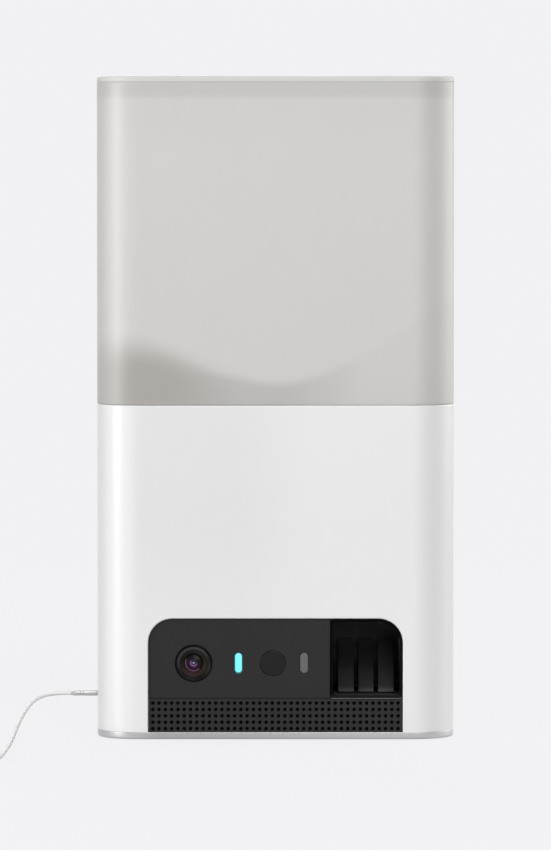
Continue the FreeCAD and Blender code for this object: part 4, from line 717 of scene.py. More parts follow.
def metal_finishes():
    """Screws, motors, plugs and the wall mount's threaded inserts."""
    steel, dull, nickel, brass = (0.5, 0.5, 0.51), (0.42, 0.42, 0.43), (0.5,) * 3, (0.62, 0.45, 0.19)
    paint = drawn(steel, 0.3, (1, 1, 14))
    add_finish("screw_steel", "screw_steel", steel, 0.34, paint, Metallic=1.0)
    paint = drawn(dull, 0.3, (10, 1, 1))
    add_finish("motor_steel", "plated_motor_steel", dull, 0.34, paint, Metallic=1.0)
    paint = drawn(nickel, 0.28, (1, 12, 12))
    add_finish("plug_metal", "nickel_plug_metal", nickel, 0.3, paint, Metallic=0.9)
    paint = turned(brass, 0.28, INSERT_MIDDLE)
    add_finish("insert_brass", "turned_brass", brass, 0.3, paint, Metallic=1.0)


def plastic_finishes():
    """Plastics, rubber, foam and boards, most of them inside, and the lead's jacket."""
    chamber, board, foam = chosen("chamber"), chosen("board"), (0.02,) * 3
    add_finish("gasket_foam", "gasket_foam", foam, 0.95, foam_pattern(foam), Specular_IOR_Level=0.1)
    add_finish("circuit_board", "circuit_board", board, 0.35, board_pattern(board))
    add_moulded("foot_rubber", "foot_rubber", (0.03,) * 3, 0.8, 700, 0.00005)
    add_moulded(
        "black_plastic", "black_chamber_plastic", chamber, 0.34, 1100, Specular_IOR_Level=0.12
    )
    add_moulded("white_inner", "moulded_white_inner", (0.76, 0.76, 0.745), 0.45, 900)
    add_moulded("gear_plastic", "gear_acetal", (0.78, 0.76, 0.69), 0.38, 500, drift=0.03)
    add_moulded(
        "soft_silicone", "soft_silicone", (0.66, 0.645, 0.61), 0.55, 400, drift=0.04,
        Subsurface_Weight=0.2,
    )  # fmt: skip
    add_moulded("white_button", "white_button", (0.78,) * 3, 0.3, 1500)
    add_moulded("white_cord", "white_cord_jacket", chosen("jacket"), 0.6, 900, 0.000004)
    add_moulded("usb_grip", "white_plug_grip", (0.72,) * 3, 0.5, 900, 0.000006)


# ---------------------------------------------------------------- making and placing pieces


def placed(name, data):
    """A new object in the scene."""
    made = bpy.data.objects.new(name, data)
    bpy.context.scene.collection.objects.link(made)
    return made


def add_piece(name, mesh, node=None, slot=None, sharp=35.0, paint=None):
    """Puts a mesh in the scene as a piece that stands for a node, or as one more of the casing's."""
    slot = slot or SLOT_OF[node]
    mesh.name = name
    made = placed(name, mesh)
    mesh.materials.clear()
    mesh.materials.append(paint or FINISHES[slot])
    if sharp:
        mesh.shade_smooth()
        mesh.set_sharp_from_angle(angle=math.radians(sharp))
    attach(made, BODY_OF[node] if node else "casing")
    if node:
        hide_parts(node)
    return made


def mesh_from(shape, name="mesh"):
    mesh = bpy.data.meshes.new(name)
    shape.to_mesh(mesh)
    shape.free()
    return mesh


def join(shape, other):
    """Adds a second shape to a first one."""
    mesh = mesh_from(other)
    shape.from_mesh(mesh)
    bpy.data.meshes.remove(mesh)


def node_shape(node):
    """A node's solid with its corners merged."""
    shape = bmesh.new()
    shape.from_mesh(frame["nodes"][node].data)
    bmesh.ops.remove_doubles(shape, verts=shape.verts, dist=1e-6)
    return shape


def evaluated(holder):
    """The plain mesh that an object's modifiers make."""
    depsgraph = bpy.context.evaluated_depsgraph_get()
    return bpy.data.meshes.new_from_object(holder.evaluated_get(depsgraph))


def weighted(mesh):
    """The mesh with its normals weighted by face area, so that flat faces stay flat beside roundings."""
    mesh.shade_smooth()
    mesh.set_sharp_from_angle(angle=math.radians(40))
    holder = placed("holder", mesh)
    weigh = holder.modifiers.new("weigh", "WEIGHTED_NORMAL")
    weigh.keep_sharp, weigh.weight = True, 100
    made = evaluated(holder)
    bpy.data.objects.remove(holder)
    return made


def finished_copy(node, *rules, paint=None):
    """A node's shape with edges rounded. Each rule is a test of an edge's ends, and a width."""
    shape = node_shape(node)
    bmesh.ops.dissolve_limit(shape, angle_limit=FLAT_ANGLE, verts=shape.verts, edges=shape.edges)
    for test, width in rules:
        shape.normal_update()
        picked = [
            edge
            for edge in shape.edges
            if len(edge.link_faces) == 2
            and edge.calc_face_angle(0) > EDGE_ANGLE
            and test(*(vert.co / MM for vert in edge.verts))
        ]
        if not picked:
            raise RuntimeError(f"{node}: no edge to round by {width}")
        bmesh.ops.bevel(
            shape, geom=picked, offset=width, offset_type="OFFSET", segments=3, profile=0.5,
            affect="EDGES", clamp_overlap=True,
        )  # fmt: skip
    mesh = mesh_from(shape)
    for kept in [a.name for a in mesh.attributes if "normal" in a.name]:
        mesh.attributes.remove(mesh.attributes[kept])
    return add_piece(node + "_finished", weighted(mesh), node, sharp=None, paint=paint)


def outline_gap(point):
    """How far a point is from the casing's outline seen from above, in millimetres."""
    x, y = abs(point.x) - (HALF_WIDTH - CORNER), abs(point.y) - (HALF_DEPTH - CORNER)
    if x > 0 and y > 0:
        return abs(math.hypot(x, y) - CORNER)
    return abs(max(x, y) - CORNER)


def on_outline(height):
    """Test for the casing's outer edge at a height."""
    return lambda a, b: all(abs(p.z - height) < 0.03 and outline_gap(p) < 0.06 for p in (a, b))


def at_front(front):
    """Test for an edge that lies in a plane across the front."""
    return lambda a, b: all(abs(p.y - front) < 0.03 for p in (a, b))


def round_opening(a, b):
    """Test for the edge round the casing's front opening, without its foot on the band."""
    outer = all(
        abs(p.y + HALF_DEPTH) < 0.05 and abs(p.x) < OPENING_HALF and p.z < OPENING_TOP for p in (a, b)
    )
    return outer and not all(abs(p.z - BAND_TOP) < 0.05 for p in (a, b))


def skin(shape, rings, closed=False, left_out=()):
    """Faces from each ring of points to the next. Left out are pairs of a row and a place in it."""
    made = [[shape.verts.new(point) for point in ring] for ring in rings]
    pairs = zip(made, made[1:] + made[:1] if closed else made[1:])
    for row, (first, second) in enumerate(pairs):
        for k in range(len(first)):
            if (row, k) not in left_out:
                following = (k + 1) % len(first)
                shape.faces.new((first[k], first[following], second[following], second[k]))
    return made


def loft(rings, closed=False):
    """A shape through rings of equal length, with flat ends, or joined into a closed loop of rings."""
    shape = bmesh.new()
    made = skin(shape, rings, closed)
    if not closed:
        shape.faces.new(made[0])
        shape.faces.new(made[-1])
    bmesh.ops.recalc_face_normals(shape, faces=shape.faces)
    return shape


def plate(left, right, low, high, front, back):
    """A flat upright plate, in metres."""
    corners = ((left, low), (right, low), (right, high), (left, high))
    return loft([[(x, y, z) for x, z in corners] for y in (front, back)])


def circle(radius, count):
    """Points round the origin."""
    turns = [2 * math.pi * k / count for k in range(count)]
    return [(radius * math.cos(turn), radius * math.sin(turn)) for turn in turns]


def lathe(profile, middle, axis, segments=48, closed=False):
    """A turned shape. Profile is radius and place along the axis, in millimetres, as middle is."""
    first, second = middle
    rings = []
    for radius, along in profile:
        ring = [((first + a) * MM, (second + b) * MM) for a, b in circle(radius, segments)]
        if axis == "X":
            rings.append([(along * MM, a, b) for a, b in ring])
        elif axis == "Y":
            rings.append([(a, along * MM, b) for a, b in ring])
        else:
            rings.append([(a, b, along * MM) for a, b in ring])
    return loft(rings, closed)


def rounded(half_width, half_height, corner, steps=4):
    """A rounded rectangle round the origin, in millimetres."""
    corner = min(corner, half_width, half_height)
    points = []
    for quarter in range(4):
        x = (half_width - corner) * (1 if quarter in (0, 3) else -1)
        z = (half_height - corner) * (1 if quarter in (0, 1) else -1)
        for k in range(steps + 1):
            turn = math.pi / 2 * (quarter + k / steps)
            points.append((x + corner * math.cos(turn), z + corner * math.sin(turn)))
    return points


def islands(node):
    """Lowest and highest corner of each loose solid of a node, in metres."""
    shape = node_shape(node)
    left, boxes = set(shape.verts), []
    while left:
        start = left.pop()
        found, reached = [start.co.copy()], [start]
        while reached:
            for edge in reached.pop().link_edges:
                for vert in edge.verts:
                    if vert in left:
                        left.remove(vert)
                        found.append(vert.co.copy())
                        reached.append(vert)
        boxes.append((Vector(map(min, zip(*found))), Vector(map(max, zip(*found)))))
    shape.free()
    return sorted(boxes, key=lambda box: tuple(round(x, 5) for x in box[0]))


REPEAT_INPUTS = {
    "Points": "Geometry", "Shape": "Object", "Turn": "Rotation", "Merge": "Float", "Finish": "Material",
}  # fmt: skip


def repeat_tree():
    """Geometry Nodes that put one shape at every point of a mesh, turned alike."""
    tree = bpy.data.node_groups.new("repeat_at_points", "GeometryNodeTree")
    face = tree.interface
    sockets = {
        name: face.new_socket(name, in_out="INPUT", socket_type="NodeSocket" + kind)
        for name, kind in REPEAT_INPUTS.items()
    }
    face.new_socket("Made", in_out="OUTPUT", socket_type="NodeSocketGeometry")
    wire = Wire(tree)
    entry = tree.nodes.new("NodeGroupInput")
    given = {name: Wire(tree, entry.outputs[name]) for name in sockets}
    shape = wire.node("GeometryNodeObjectInfo", values={"Object": given["Shape"]}, out="Geometry")
    made = wire.node(
        "GeometryNodeInstanceOnPoints",
        values={"Points": given["Points"], "Instance": shape, "Rotation": given["Turn"]},
    )
    for kind, more in (
        ("RealizeInstances", {}),
        ("MergeByDistance", {"Distance": given["Merge"]}),
        ("SetMaterial", {"Material": given["Finish"]}),
    ):
        made = wire.node("GeometryNode" + kind, values={"Geometry": made, **more})
    tree.links.new(made.socket, tree.nodes.new("NodeGroupOutput").inputs[0])
    return tree, {name: socket.identifier for name, socket in sockets.items()}


def repeated(shape_mesh, points, slot, turn=(0.0, 0.0, 0.0), merge=0.0):
    """One plain mesh of a shape repeated at points, by way of Geometry Nodes."""
    tree, keys = repeat_tree()
    cloud = bpy.data.meshes.new("points")
    cloud.from_pydata([tuple(p) for p in points], [], [])
    holder, shape = placed("points", cloud), placed("repeated_shape", shape_mesh)
    spread = holder.modifiers.new("repeat", "NODES")
    spread.node_group = tree
    given = {"Shape": shape, "Turn": turn, "Merge": merge, "Finish": FINISHES[slot]}
    for name, value in given.items():
        spread[keys[name]] = value
    mesh = evaluated(holder)
    for made in (holder, shape):
        bpy.data.objects.remove(made)
    bpy.data.node_groups.remove(tree)
    return mesh


# ---------------------------------------------------------------- stage


def soft_lamp(name, place, width, height, power):
    """An area lamp that lights and reflects, and isn't seen itself. It aims at the casing's middle."""
    lamp = bpy.data.lights.new(name, "AREA")
    lamp.shape, lamp.size, lamp.size_y, lamp.energy = "RECTANGLE", width, height, power
    made = placed(name, lamp)
    made.location = place
    aim = Vector((0.0, 0.0, 0.14)) - Vector(place)
    made.rotation_euler = aim.to_track_quat("-Z", "Y").to_euler()
    made.visible_camera = made.visible_transmission = False


def seen_directly(wire):
    """1 for camera, glossy and transmission rays."""
    camera, glossy, through = (
        wire.node("ShaderNodeLightPath", out=f"Is {ray} Ray")
        for ray in ("Camera", "Glossy", "Transmission")
    )
    return camera.maths("MAXIMUM", glossy).maths("MAXIMUM", through)


def floor_paint(backdrop):
    """Floor: the backdrop's own colour where it is seen, matt where light falls, clear from below."""
    paint = bpy.data.materials.new("pale_floor")
    paint.use_nodes = True
    tree = paint.node_tree
    tree.nodes.remove(tree.nodes["Principled BSDF"])
    wire = Wire(tree)
    direct = seen_directly(wire)
    place = wire.node("ShaderNodeTexCoord", out="Object")
    away = place.node("ShaderNodeVectorMath", {"operation": "LENGTH"}, {0: place}, out="Value")
    far = away.step(0.15, 1.2)
    matt = wire.node("ShaderNodeBsdfDiffuse", values={"Color": (0.5, 0.5, 0.505, 1)})
    glow = wire.node(
        "ShaderNodeEmission", values={"Color": far.shade(times(backdrop, 1.09), backdrop)}
    )
    share = direct * (far * 0.15 + 0.85)
    look = wire.node("ShaderNodeMixShader", values={0: share, 1: matt, 2: glow})
    under = wire.node("ShaderNodeNewGeometry", out="Backfacing")
    clear = wire.node("ShaderNodeBsdfTransparent")
    both = wire.node("ShaderNodeMixShader", values={0: under, 1: look, 2: clear})
    tree.links.new(both.socket, tree.nodes["Material Output"].inputs["Surface"])
    return paint


class PETCAM_OT_stage(bpy.types.Operator):
    """Makes the camera, the lamps, the background and the floor"""

    bl_idname = "petcam.stage"
    bl_label = "Camera, lamps and floor"

    def execute(self, context):
        own = settings().studio
        backdrop = tuple(own.backdrop)
        scene = context.scene
        scene.view_settings.view_transform = "Standard"
        lens = bpy.data.cameras.new("camera")
        lens.lens, lens.sensor_width, lens.sensor_height = VIEW_LENS, VIEW_SENSOR, VIEW_SENSOR
        lens.sensor_fit = "VERTICAL"
        lens.clip_start, lens.clip_end = 0.1, 100.0
        camera = scene.camera = placed("camera", lens)
        camera.location = VIEW_PLACE
        camera.rotation_euler = (math.radians(VIEW_TILT), 0.0, 0.0)

        scene.world = bpy.data.worlds.new("studio")
        scene.world.use_nodes = True
        tree = scene.world.node_tree
        seen = seen_directly(Wire(tree)).shade((own.ambient,) * 3, backdrop)
        tree.links.new(seen.socket, tree.nodes["Background"].inputs["Color"])

        soft_lamp("front_lamp", (0.5, -2.07, 1.63), 1.5, 2.8, own.front)
        soft_lamp("left_lamp", (-1.77, -0.94, 0.5), 0.8, 1.1, own.left)
        soft_lamp("right_lamp", (1.88, 0.98, 0.78), 1.9, 1.5, own.right)
        soft_lamp("top_lamp", (0.0, 0.1, 2.2), 1.6, 1.6, own.over)
        soft_lamp("back_lamp", (-0.5, 2.1, 1.3), 2.0, 1.6, own.back)

        shape = bmesh.new()
        bmesh.ops.create_circle(shape, cap_ends=True, segments=96, radius=30.0)
        floor = placed("floor", mesh_from(shape, "floor"))
        floor.data.materials.append(floor_paint(backdrop))
        return {"FINISHED"}


class PETCAM_OT_finishes(bpy.types.Operator):
    """Makes the finishes"""

    bl_idname = "petcam.finishes"
    bl_label = "Finishes"

    def execute(self, context):
        casing_finishes()
        lens_and_light_finishes()
        metal_finishes()
        plastic_finishes()
        return {"FINISHED"}


# ---------------------------------------------------------------- the lead


def coil_points(radius, diameter, per_turn):
    """Control points of the coil's turns, from the lead's side round to the tail's."""
    # Control points stand a little outside the curve that they make.
    swell = 1 / (0.75 + 0.25 * math.cos(2 * math.pi / per_turn))
    points, last = [], len(COIL_TURNS) - 1
    for k in range(round((last + COIL_LAST_SHARE) * per_turn) + 1):
        turn, within = divmod(k / per_turn, 1.0)
        here, after = COIL_TURNS[int(turn)], COIL_TURNS[min(int(turn) + 1, last)]
        shift = max(0.0, (within - COIL_SHIFT_FROM) / (1 - COIL_SHIFT_FROM))
        shift = shift * shift * (3 - 2 * shift)
        out = swell * (radius + diameter * (here[0] + (after[0] - here[0]) * shift))
        angle = COIL_START - 2 * math.pi * k / per_turn
        x, y = COIL_CENTRE[0] + out * math.cos(angle), COIL_CENTRE[1] + out * math.sin(angle)
        points.append((x, y, here[1] + (after[1] - here[1]) * shift))
    return points


def coil_tie(radius, width):
    """A flat strap round the coil's bundle at its far side."""
    away = Vector((math.cos(TIE_ANGLE), math.sin(TIE_ANGLE), 0.0))
    along = Vector((-away.y, away.x, 0.0))
    middle = Vector((*COIL_CENTRE, 0.0)) + away * radius
    strap, half, lift, floor = [], width / 2, BUNDLE_HALF_HEIGHT + 0.1, 0.05
    for outer, side in ((0.0, -half), (TIE_THICK, -half), (TIE_THICK, half), (0.0, half)):
        wide, high = (size + outer / MM for size in (BUNDLE_HALF_WIDTH, BUNDLE_HALF_HEIGHT))
        ring = []
        for x, z in rounded(wide, high, 2.0, 5):
            up = Vector((0, 0, max(floor, z + lift) * MM))
            ring.append(middle + away * x * MM + along * side + up)
        strap.append(ring)
    return add_piece("coil_tie", mesh_from(loft(strap, closed=True)), slot="usb_grip")


def charger_outline(points, y, lift=0.0):
    """Points round the charger plug's middle at a place along it, from millimetres to metres."""
    x, z = CHARGER_MIDDLE
    return [((x + a) * MM, y * MM, (z + lift + b) * MM) for a, b in points]


def charger_grip():
    """The charger plug's grip: a ribbed relief at its rear, and five grooves across it."""
    # A section is its place along the plug, half its width, half its height and its corner.
    sections = [(-88.0, 1.0, 1.0, 1.0), (-87.8, 1.5, 1.4, 1.3), (-87.0, 2.2, 1.7, 1.5)]
    for rib in range(4):
        y = -86.4 + 1.35 * rib
        wide = 2.6 + 0.1 * rib
        sections += [(y, wide, 2.1, 1.7), (y + 0.7, wide, 2.1, 1.7)]
        sections += [(y + 0.8, wide - 0.6, 1.6, 1.5), (y + 1.2, wide - 0.6, 1.6, 1.5)]
    sections += [(-80.9, 5.6, 2.9, 2.2), (-80.3, 6.8, 3.5, 2.4), (-79.2, 7.6, 3.9, 2.6)]
    for groove in range(5):
        y = -75.0 + 2.2 * groove
        sections += [(y, 7.8, 4.0, 2.6), (y + 0.3, 7.45, 3.8, 2.5)]
        sections += [(y + 0.9, 7.45, 3.8, 2.5), (y + 1.2, 7.8, 4.0, 2.6)]
    sections += [(-60.2, 7.8, 4.0, 2.6), (-59.4, 7.6, 3.8, 2.5), (-59.0, 7.2, 3.4, 2.3)]
    rings = [charger_outline(rounded(*size, 5), y) for y, *size in sections]
    return add_piece("charger_plug_grip", mesh_from(loft(rings)), "usb_plug_grip")


def charger_shell():
    """The charger plug's thin metal tube, open in front, with two square windows on each broad side."""
    across, half_height = [-6.0, -3.9, -1.9, 1.9, 3.9, 6.0], 2.25
    stations = (-59.2, -54.0, -51.6, -41.0)
    outline = [(a, -half_height) for a in across] + [(a, half_height) for a in reversed(across)]
    windows = [(1, k) for k in (1, 3, 7, 9)]
    shape = bmesh.new()
    skin(shape, [charger_outline(outline, y) for y in stations], left_out=windows)
    bmesh.ops.recalc_face_normals(shape, faces=shape.faces)
    inside = Vector((CHARGER_MIDDLE[0], -50, CHARGER_MIDDLE[1])) * MM
    if sum(face.normal.dot(face.calc_center_median() - inside) for face in shape.faces) < 0:
        bmesh.ops.reverse_faces(shape, faces=shape.faces)
    bmesh.ops.solidify(shape, geom=shape.faces[:], thickness=0.0004)
    return add_piece("charger_plug_shell", mesh_from(shape), "usb_plug_shell")


def charger_tongue():
    """The contact tongue inside the charger plug's shell."""
    ends = ((-59.1, 5.2), (-42.6, 5.2), (-42.2, 4.9))
    rings = [charger_outline(rounded(size, 0.85, 0.2, 2), y, lift=0.75) for y, size in ends]
    return add_piece("charger_plug_tongue", mesh_from(loft(rings)), slot="usb_grip")


class PETCAM_OT_lead(bpy.types.Operator):
    """Makes the power lead with its coil, the strap that ties the coil, and the charger plug"""

    bl_idname = "petcam.lead"
    bl_label = "Power lead and charger plug"

    def execute(self, context):
        own = settings().lead
        points = LEAD_ROUTE + coil_points(own.coil_radius, own.diameter, own.turn_points) + TAIL_ROUTE
        curve = bpy.data.curves.new("power_lead", "CURVE")
        curve.dimensions = "3D"
        spline = curve.splines.new("NURBS")
        spline.points.add(len(points) - 1)
        for made, point in zip(spline.points, points):
            made.co = (*point, 1.0)
        spline.order_u, spline.use_endpoint_u, spline.resolution_u = 3, True, 5
        curve.bevel_depth, curve.bevel_resolution = own.diameter / 2, 3
        curve.use_fill_caps = True
        curve.materials.append(FINISHES["white_cord"])
        lead = placed("power_lead", curve)
        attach(lead, "casing")
        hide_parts("cord_lead", "cord_coil", "cord_tail")
        tie = coil_tie(own.coil_radius, own.tie_width)
        charger_grip()
        charger_shell()
        charger_tongue()
        return {"FINISHED"}


class PETCAM_OT_power_plug(bpy.types.Operator):
    """Makes the slim metal plug in the casing's side"""

    bl_idname = "petcam.power_plug"
    bl_label = "Power plug"

    def execute(self, context):
        profile = [(0.82, -84.0), (0.95, -83.6), (1.12, -82.6), (1.2, -82.2)]
        for groove in range(3):
            x = -81.2 + 1.0 * groove
            profile += [(1.2, x), (1.04, x + 0.15), (1.04, x + 0.45), (1.2, x + 0.6)]
        profile += [(1.2, -73.4), (1.05, -73.25), (1.05, -72.95), (1.2, -72.8), (1.2, -64.0)]
        profile += [(0.95, -63.5)]
        mesh = mesh_from(lathe(profile, POWER_PLUG_MIDDLE, "X", 32))
        add_piece("power_plug_turned", mesh, "power_plug")
        return {"FINISHED"}


# ---------------------------------------------------------------- casing


class PETCAM_OT_housing(bpy.types.Operator):
    """Rounds the outer edges of the lower housing and the base band"""

    bl_idname = "petcam.housing"
    bl_label = "Housing and base band"

    def execute(self, context):
        own = settings().casing
        finished_copy(
            "lower_housing", (on_outline(SEAM), own.seam_round), (round_opening, own.opening_round)
        )
        finished_copy(
            "base_plate",
            (on_outline(BAND_LOW), own.base_round),
            (on_outline(BAND_TOP), own.seam_round / 2),
        )
        return {"FINISHED"}


class PETCAM_OT_container(bpy.types.Operator):
    """Rounds the outer edges of the frosted container"""

    bl_idname = "petcam.container"
    bl_label = "Frosted container"

    def execute(self, context):
        own = settings().casing
        finished_copy(
            "treat_container",
            (on_outline(SEAM), own.seam_round),
            (on_outline(LID_SEAM), own.seam_round / 2),
            (on_outline(TOP), own.lid_round / 2),
        )
        return {"FINISHED"}


class PETCAM_OT_lid(bpy.types.Operator):
    """Rounds the outer edges of the lid"""

    bl_idname = "petcam.lid"
    bl_label = "Lid"

    def execute(self, context):
        own, shade = settings().casing, chosen("lid")
        finished_copy(
            "lid_cover",
            (on_outline(TOP), own.lid_round),
            (on_outline(LID_SEAM), own.seam_round / 2),
            paint=finish("satin_lid", shade, 0.5, moulded(shade, 0.5, drift=0.006)),
        )
        return {"FINISHED"}


class PETCAM_OT_fascia(bpy.types.Operator):
    """Rounds the fascia's edges"""

    bl_idname = "petcam.fascia"
    bl_label = "Fascia"

    def execute(self, context):
        rule = (at_front(FASCIA_FRONT), settings().casing.seam_round / 2)
        finished_copy("front_fascia", rule)
        return {"FINISHED"}


def grille_tile(own, depth):
    """One hole with a rounded mouth in its square of plate, twelve points round."""
    corners = []
    for k in range(12):
        side, part = divmod(k, 3)
        slide = -1 + 2 * part / 3
        corners.append([(1, slide), (-slide, 1), (-1, -slide), (slide, -1)][side])
    square = [(x * own.pitch_x / 2, z * own.pitch_z / 2) for x, z in corners]
    turns = [math.atan2(z, x) for x, z in square]
    wide, narrow = (
        [(radius * math.cos(turn), radius * math.sin(turn)) for turn in turns]
        for radius in (own.hole + own.sink, own.hole)
    )
    layers = [(square, 0.0), (wide, 0.0), (narrow, own.sink), (narrow, depth), (square, depth)]
    tile = bmesh.new()
    skin(tile, [[(x, y, z) for x, z in ring] for ring, y in layers])
    return mesh_from(tile)


class PETCAM_OT_grille(bpy.types.Operator):
    """Makes the perforated speaker grille, and the dust cloth behind its holes"""

    bl_idname = "petcam.grille"
    bl_label = "Speaker grille and cloth"

    def execute(self, context):
        own = settings().grille
        low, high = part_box("speaker_grille")
        front, back = low.y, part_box("speaker_gasket")[0].y - FOAM_CLEARANCE * MM
        first_x, first_z = -(own.columns - 1) / 2 * own.pitch_x, low.z + own.pitch_z / 2
        points = [
            (first_x + column * own.pitch_x, front, first_z + row * own.pitch_z)
            for column in range(own.columns)
            for row in range(own.rows)
        ]
        mesh = repeated(grille_tile(own, back - front), points, "black_grille", merge=0.00001)
        shape = bmesh.new()
        shape.from_mesh(mesh)
        # The outermost tiles are drawn out to the plate's sides and top.
        wide, top = own.columns * own.pitch_x / 2, low.z + own.rows * own.pitch_z
        for vert in shape.verts:
            if abs(vert.co.x) > wide - 1e-5:
                vert.co.x = math.copysign(high.x, vert.co.x)
            if vert.co.z > top - 1e-5:
                vert.co.z = high.z
        rims = [edge for edge in shape.edges if edge.is_boundary]
        bmesh.ops.bridge_loops(shape, edges=rims)
        bmesh.ops.recalc_face_normals(shape, faces=shape.faces)
        for end in (-1, 1):
            inner = end * (high.x - GRILLE_TAB * MM)
            join(shape, plate(end * high.x, inner, low.z, high.z, back - TAB_OVERLAP * MM, high.y))
        add_piece("grille_perforated", mesh_from(shape), "speaker_grille")

        side, foot, head = (inset * MM for inset in CLOTH_INSET)
        wide, rear = high.x - side, back + CLOTH_THICK * MM
        cloth = plate(-wide, wide, low.z + foot, high.z - head, back, rear)
        weave = (0.0035,) * 3
        paint = finish("dust_cloth", weave, 0.9, foam_pattern(weave), Specular_IOR_Level=0.1)
        add_piece("grille_cloth", mesh_from(cloth), slot="gasket_foam", paint=paint)
        return {"FINISHED"}


# ---------------------------------------------------------------- lens, lights and sensor


class PETCAM_OT_lens(bpy.types.Operator):
    """Turns the lens ring, its dark barrel and the domed glass"""

    bl_idname = "petcam.lens"
    bl_label = "Lens"

    def execute(self, context):
        middle = front_middle("lens_bezel")
        hub = (middle[0] / MM, middle[2] / MM)
        ring = [
            (7.42, -35.2), (7.42, -35.72), (7.3, -35.88), (7.05, -35.9), (6.95, -35.82),
            (6.75, -35.66), (6.1, -35.34), (5.75, -35.12), (5.62, -34.95), (5.62, -32.6), (7.42, -32.6),
        ]  # fmt: skip
        add_piece("lens_ring_turned", mesh_from(lathe(ring, hub, "Y", 96, closed=True)), "lens_bezel")

        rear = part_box("lens_barrel")[1].y / MM
        bowl = [
            (5.57, -34.9), (5.5, -34.96), (5.3, -34.9), (5.1, -34.5), (4.9, -34.42), (4.75, -34.0),
            (4.55, -33.95), (4.4, -33.5), (4.2, -33.45), (4.05, -33.15), (3.87, -33.1),
            (3.87, rear), (5.57, rear),
        ]  # fmt: skip
        paint = finish(
            "lens_barrel_black", (0.01,) * 3, 0.4, barrel_pattern(middle), Specular_IOR_Level=0.15
        )
        mesh = mesh_from(lathe(bowl, hub, "Y", 96, closed=True))
        add_piece("lens_barrel_turned", mesh, "lens_barrel", paint=paint)

        low, high = (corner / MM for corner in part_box("lens_glass"))
        radius, rise, pole = (high.x - low.x) / 2, 1.1, 0.02
        dome = []
        for k in range(13):
            turn = math.pi / 2 * k / 12
            dome.append((max(pole, radius * math.sin(turn)), low.y + rise * (1 - math.cos(turn))))
        dome += [(radius, high.y - 0.1), (radius - 0.1, high.y), (pole, high.y)]
        add_piece("lens_glass_domed", mesh_from(lathe(dome, hub, "Y", 96)), "lens_glass")
        return {"FINISHED"}


class PETCAM_OT_lights(bpy.types.Operator):
    """Rounds the front edges of the two slots and the sensor window"""

    bl_idname = "petcam.lights"
    bl_label = "Lights and sensor"

    def execute(self, context):
        for node in ("status_light", "infrared_light", "sensor_window"):
            finished_copy(node, (at_front(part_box(node)[0].y / MM), 0.00025))
        return {"FINISHED"}


# ---------------------------------------------------------------- toss parts


def finger_outline():
    """A finger seen from the side: how far along it and how far off its middle line, in millimetres."""
    length, eye, foot, front = FINGER_LENGTH, FINGER_EYE, FINGER_FOOT, 0.4
    outline = [(length - 0.4, front)]
    # The front is a curve with control points 13, 8, 5 and 0 mm along, and ends at the fuller foot.
    for k in range(9):
        t = k / 8
        first, second, third, last = (1 - t) ** 3, 3 * t * (1 - t) ** 2, 3 * t * t * (1 - t), t**3
        along = first * 13 + second * 8 + third * 5
        outline.append((along, (first + second) * front - (third + last) * foot))
    for k in range(1, 12):
        turn = math.pi * k / 12
        outline.append((-foot * math.sin(turn), -(foot if k < 6 else eye) * math.cos(turn)))
    outline += [(0.0, eye), (length - 0.4, eye), (length - 0.1, eye - 0.15), (length, eye - 0.5)]
    return outline + [(length, 0.9), (length - 0.1, 0.55)]


def paddle_mesh():
    """The paddle's shaft, and its three fingers with their fronts drawn down over the round ends."""
    sine, cosine = math.sin(PADDLE_LEAN), math.cos(PADDLE_LEAN)
    side = [
        (
            (PADDLE_HUB[0] + along * sine + off * cosine) * MM,
            (PADDLE_HUB[1] + along * cosine - off * sine) * MM,
        )
        for along, off in finger_outline()
    ]
    low, high = (corner.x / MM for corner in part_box("toss_paddle"))
    shaft = [(1.3, low), (1.5, low + 0.2), (1.5, high - 0.2), (1.3, high)]
    whole = lathe(shaft, PADDLE_HUB, "X", 32)
    for ends in FINGER_SIDES:
        finger = loft([[(x * MM, y, z) for y, z in side] for x in ends])
        rims = [e for e in finger.edges if abs(e.verts[0].co.x - e.verts[1].co.x) < 1e-6]
        width = settings().casing.finger_round
        bmesh.ops.bevel(finger, geom=rims, offset=width, segments=3, profile=0.5, affect="EDGES")
        join(whole, finger)
    return mesh_from(whole)


class PETCAM_OT_toss(bpy.types.Operator):
    """Makes the toss fingers, rounds the chamber's mouth and adds the thin pale lip under it, a painted
    highlight on the mouth's lower edge
    """

    bl_idname = "petcam.toss"
    bl_label = "Toss fingers, chamber and lip"

    def execute(self, context):
        shade, hub = chosen("chamber"), [part * MM for part in (0.0, *PADDLE_HUB)]
        paint = finish(
            "finger_plastic", shade, 0.36, finger_pattern(shade, hub), Specular_IOR_Level=0.02
        )
        add_piece("toss_paddle_finished", paddle_mesh(), "toss_paddle", sharp=50.0, paint=paint)
        paint = finish(
            "toss_chamber_plastic", shade, 0.4, chamber_pattern(shade), Specular_IOR_Level=0.03
        )
        mouth = at_front(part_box("toss_housing")[0].y / MM)
        finished_copy("toss_housing", (mouth, 0.0002), paint=paint)

        left, right = LIP_ENDS
        y, z = LIP_MIDDLE
        lip = []
        for x, high in (
            (left, LIP_END_HALF_HEIGHT),
            (left + 0.2, LIP_HALF_HEIGHT),
            (right - 0.2, LIP_HALF_HEIGHT),
            (right, LIP_END_HALF_HEIGHT),
        ):
            section = rounded(LIP_HALF_DEPTH, high, 0.06, 3)
            lip.append([(x * MM, (a + y) * MM, (b + z) * MM) for a, b in section])
        # The lip's pale grey is a painted highlight on the mouth's lower edge.
        grey = (0.125,) * 3
        paint = finish("mouth_lip_grey", grey, 0.4, moulded(grey, 0.4, 900))
        add_piece("mouth_lip", mesh_from(loft(lip)), slot="grey_slot", paint=paint)
        return {"FINISHED"}


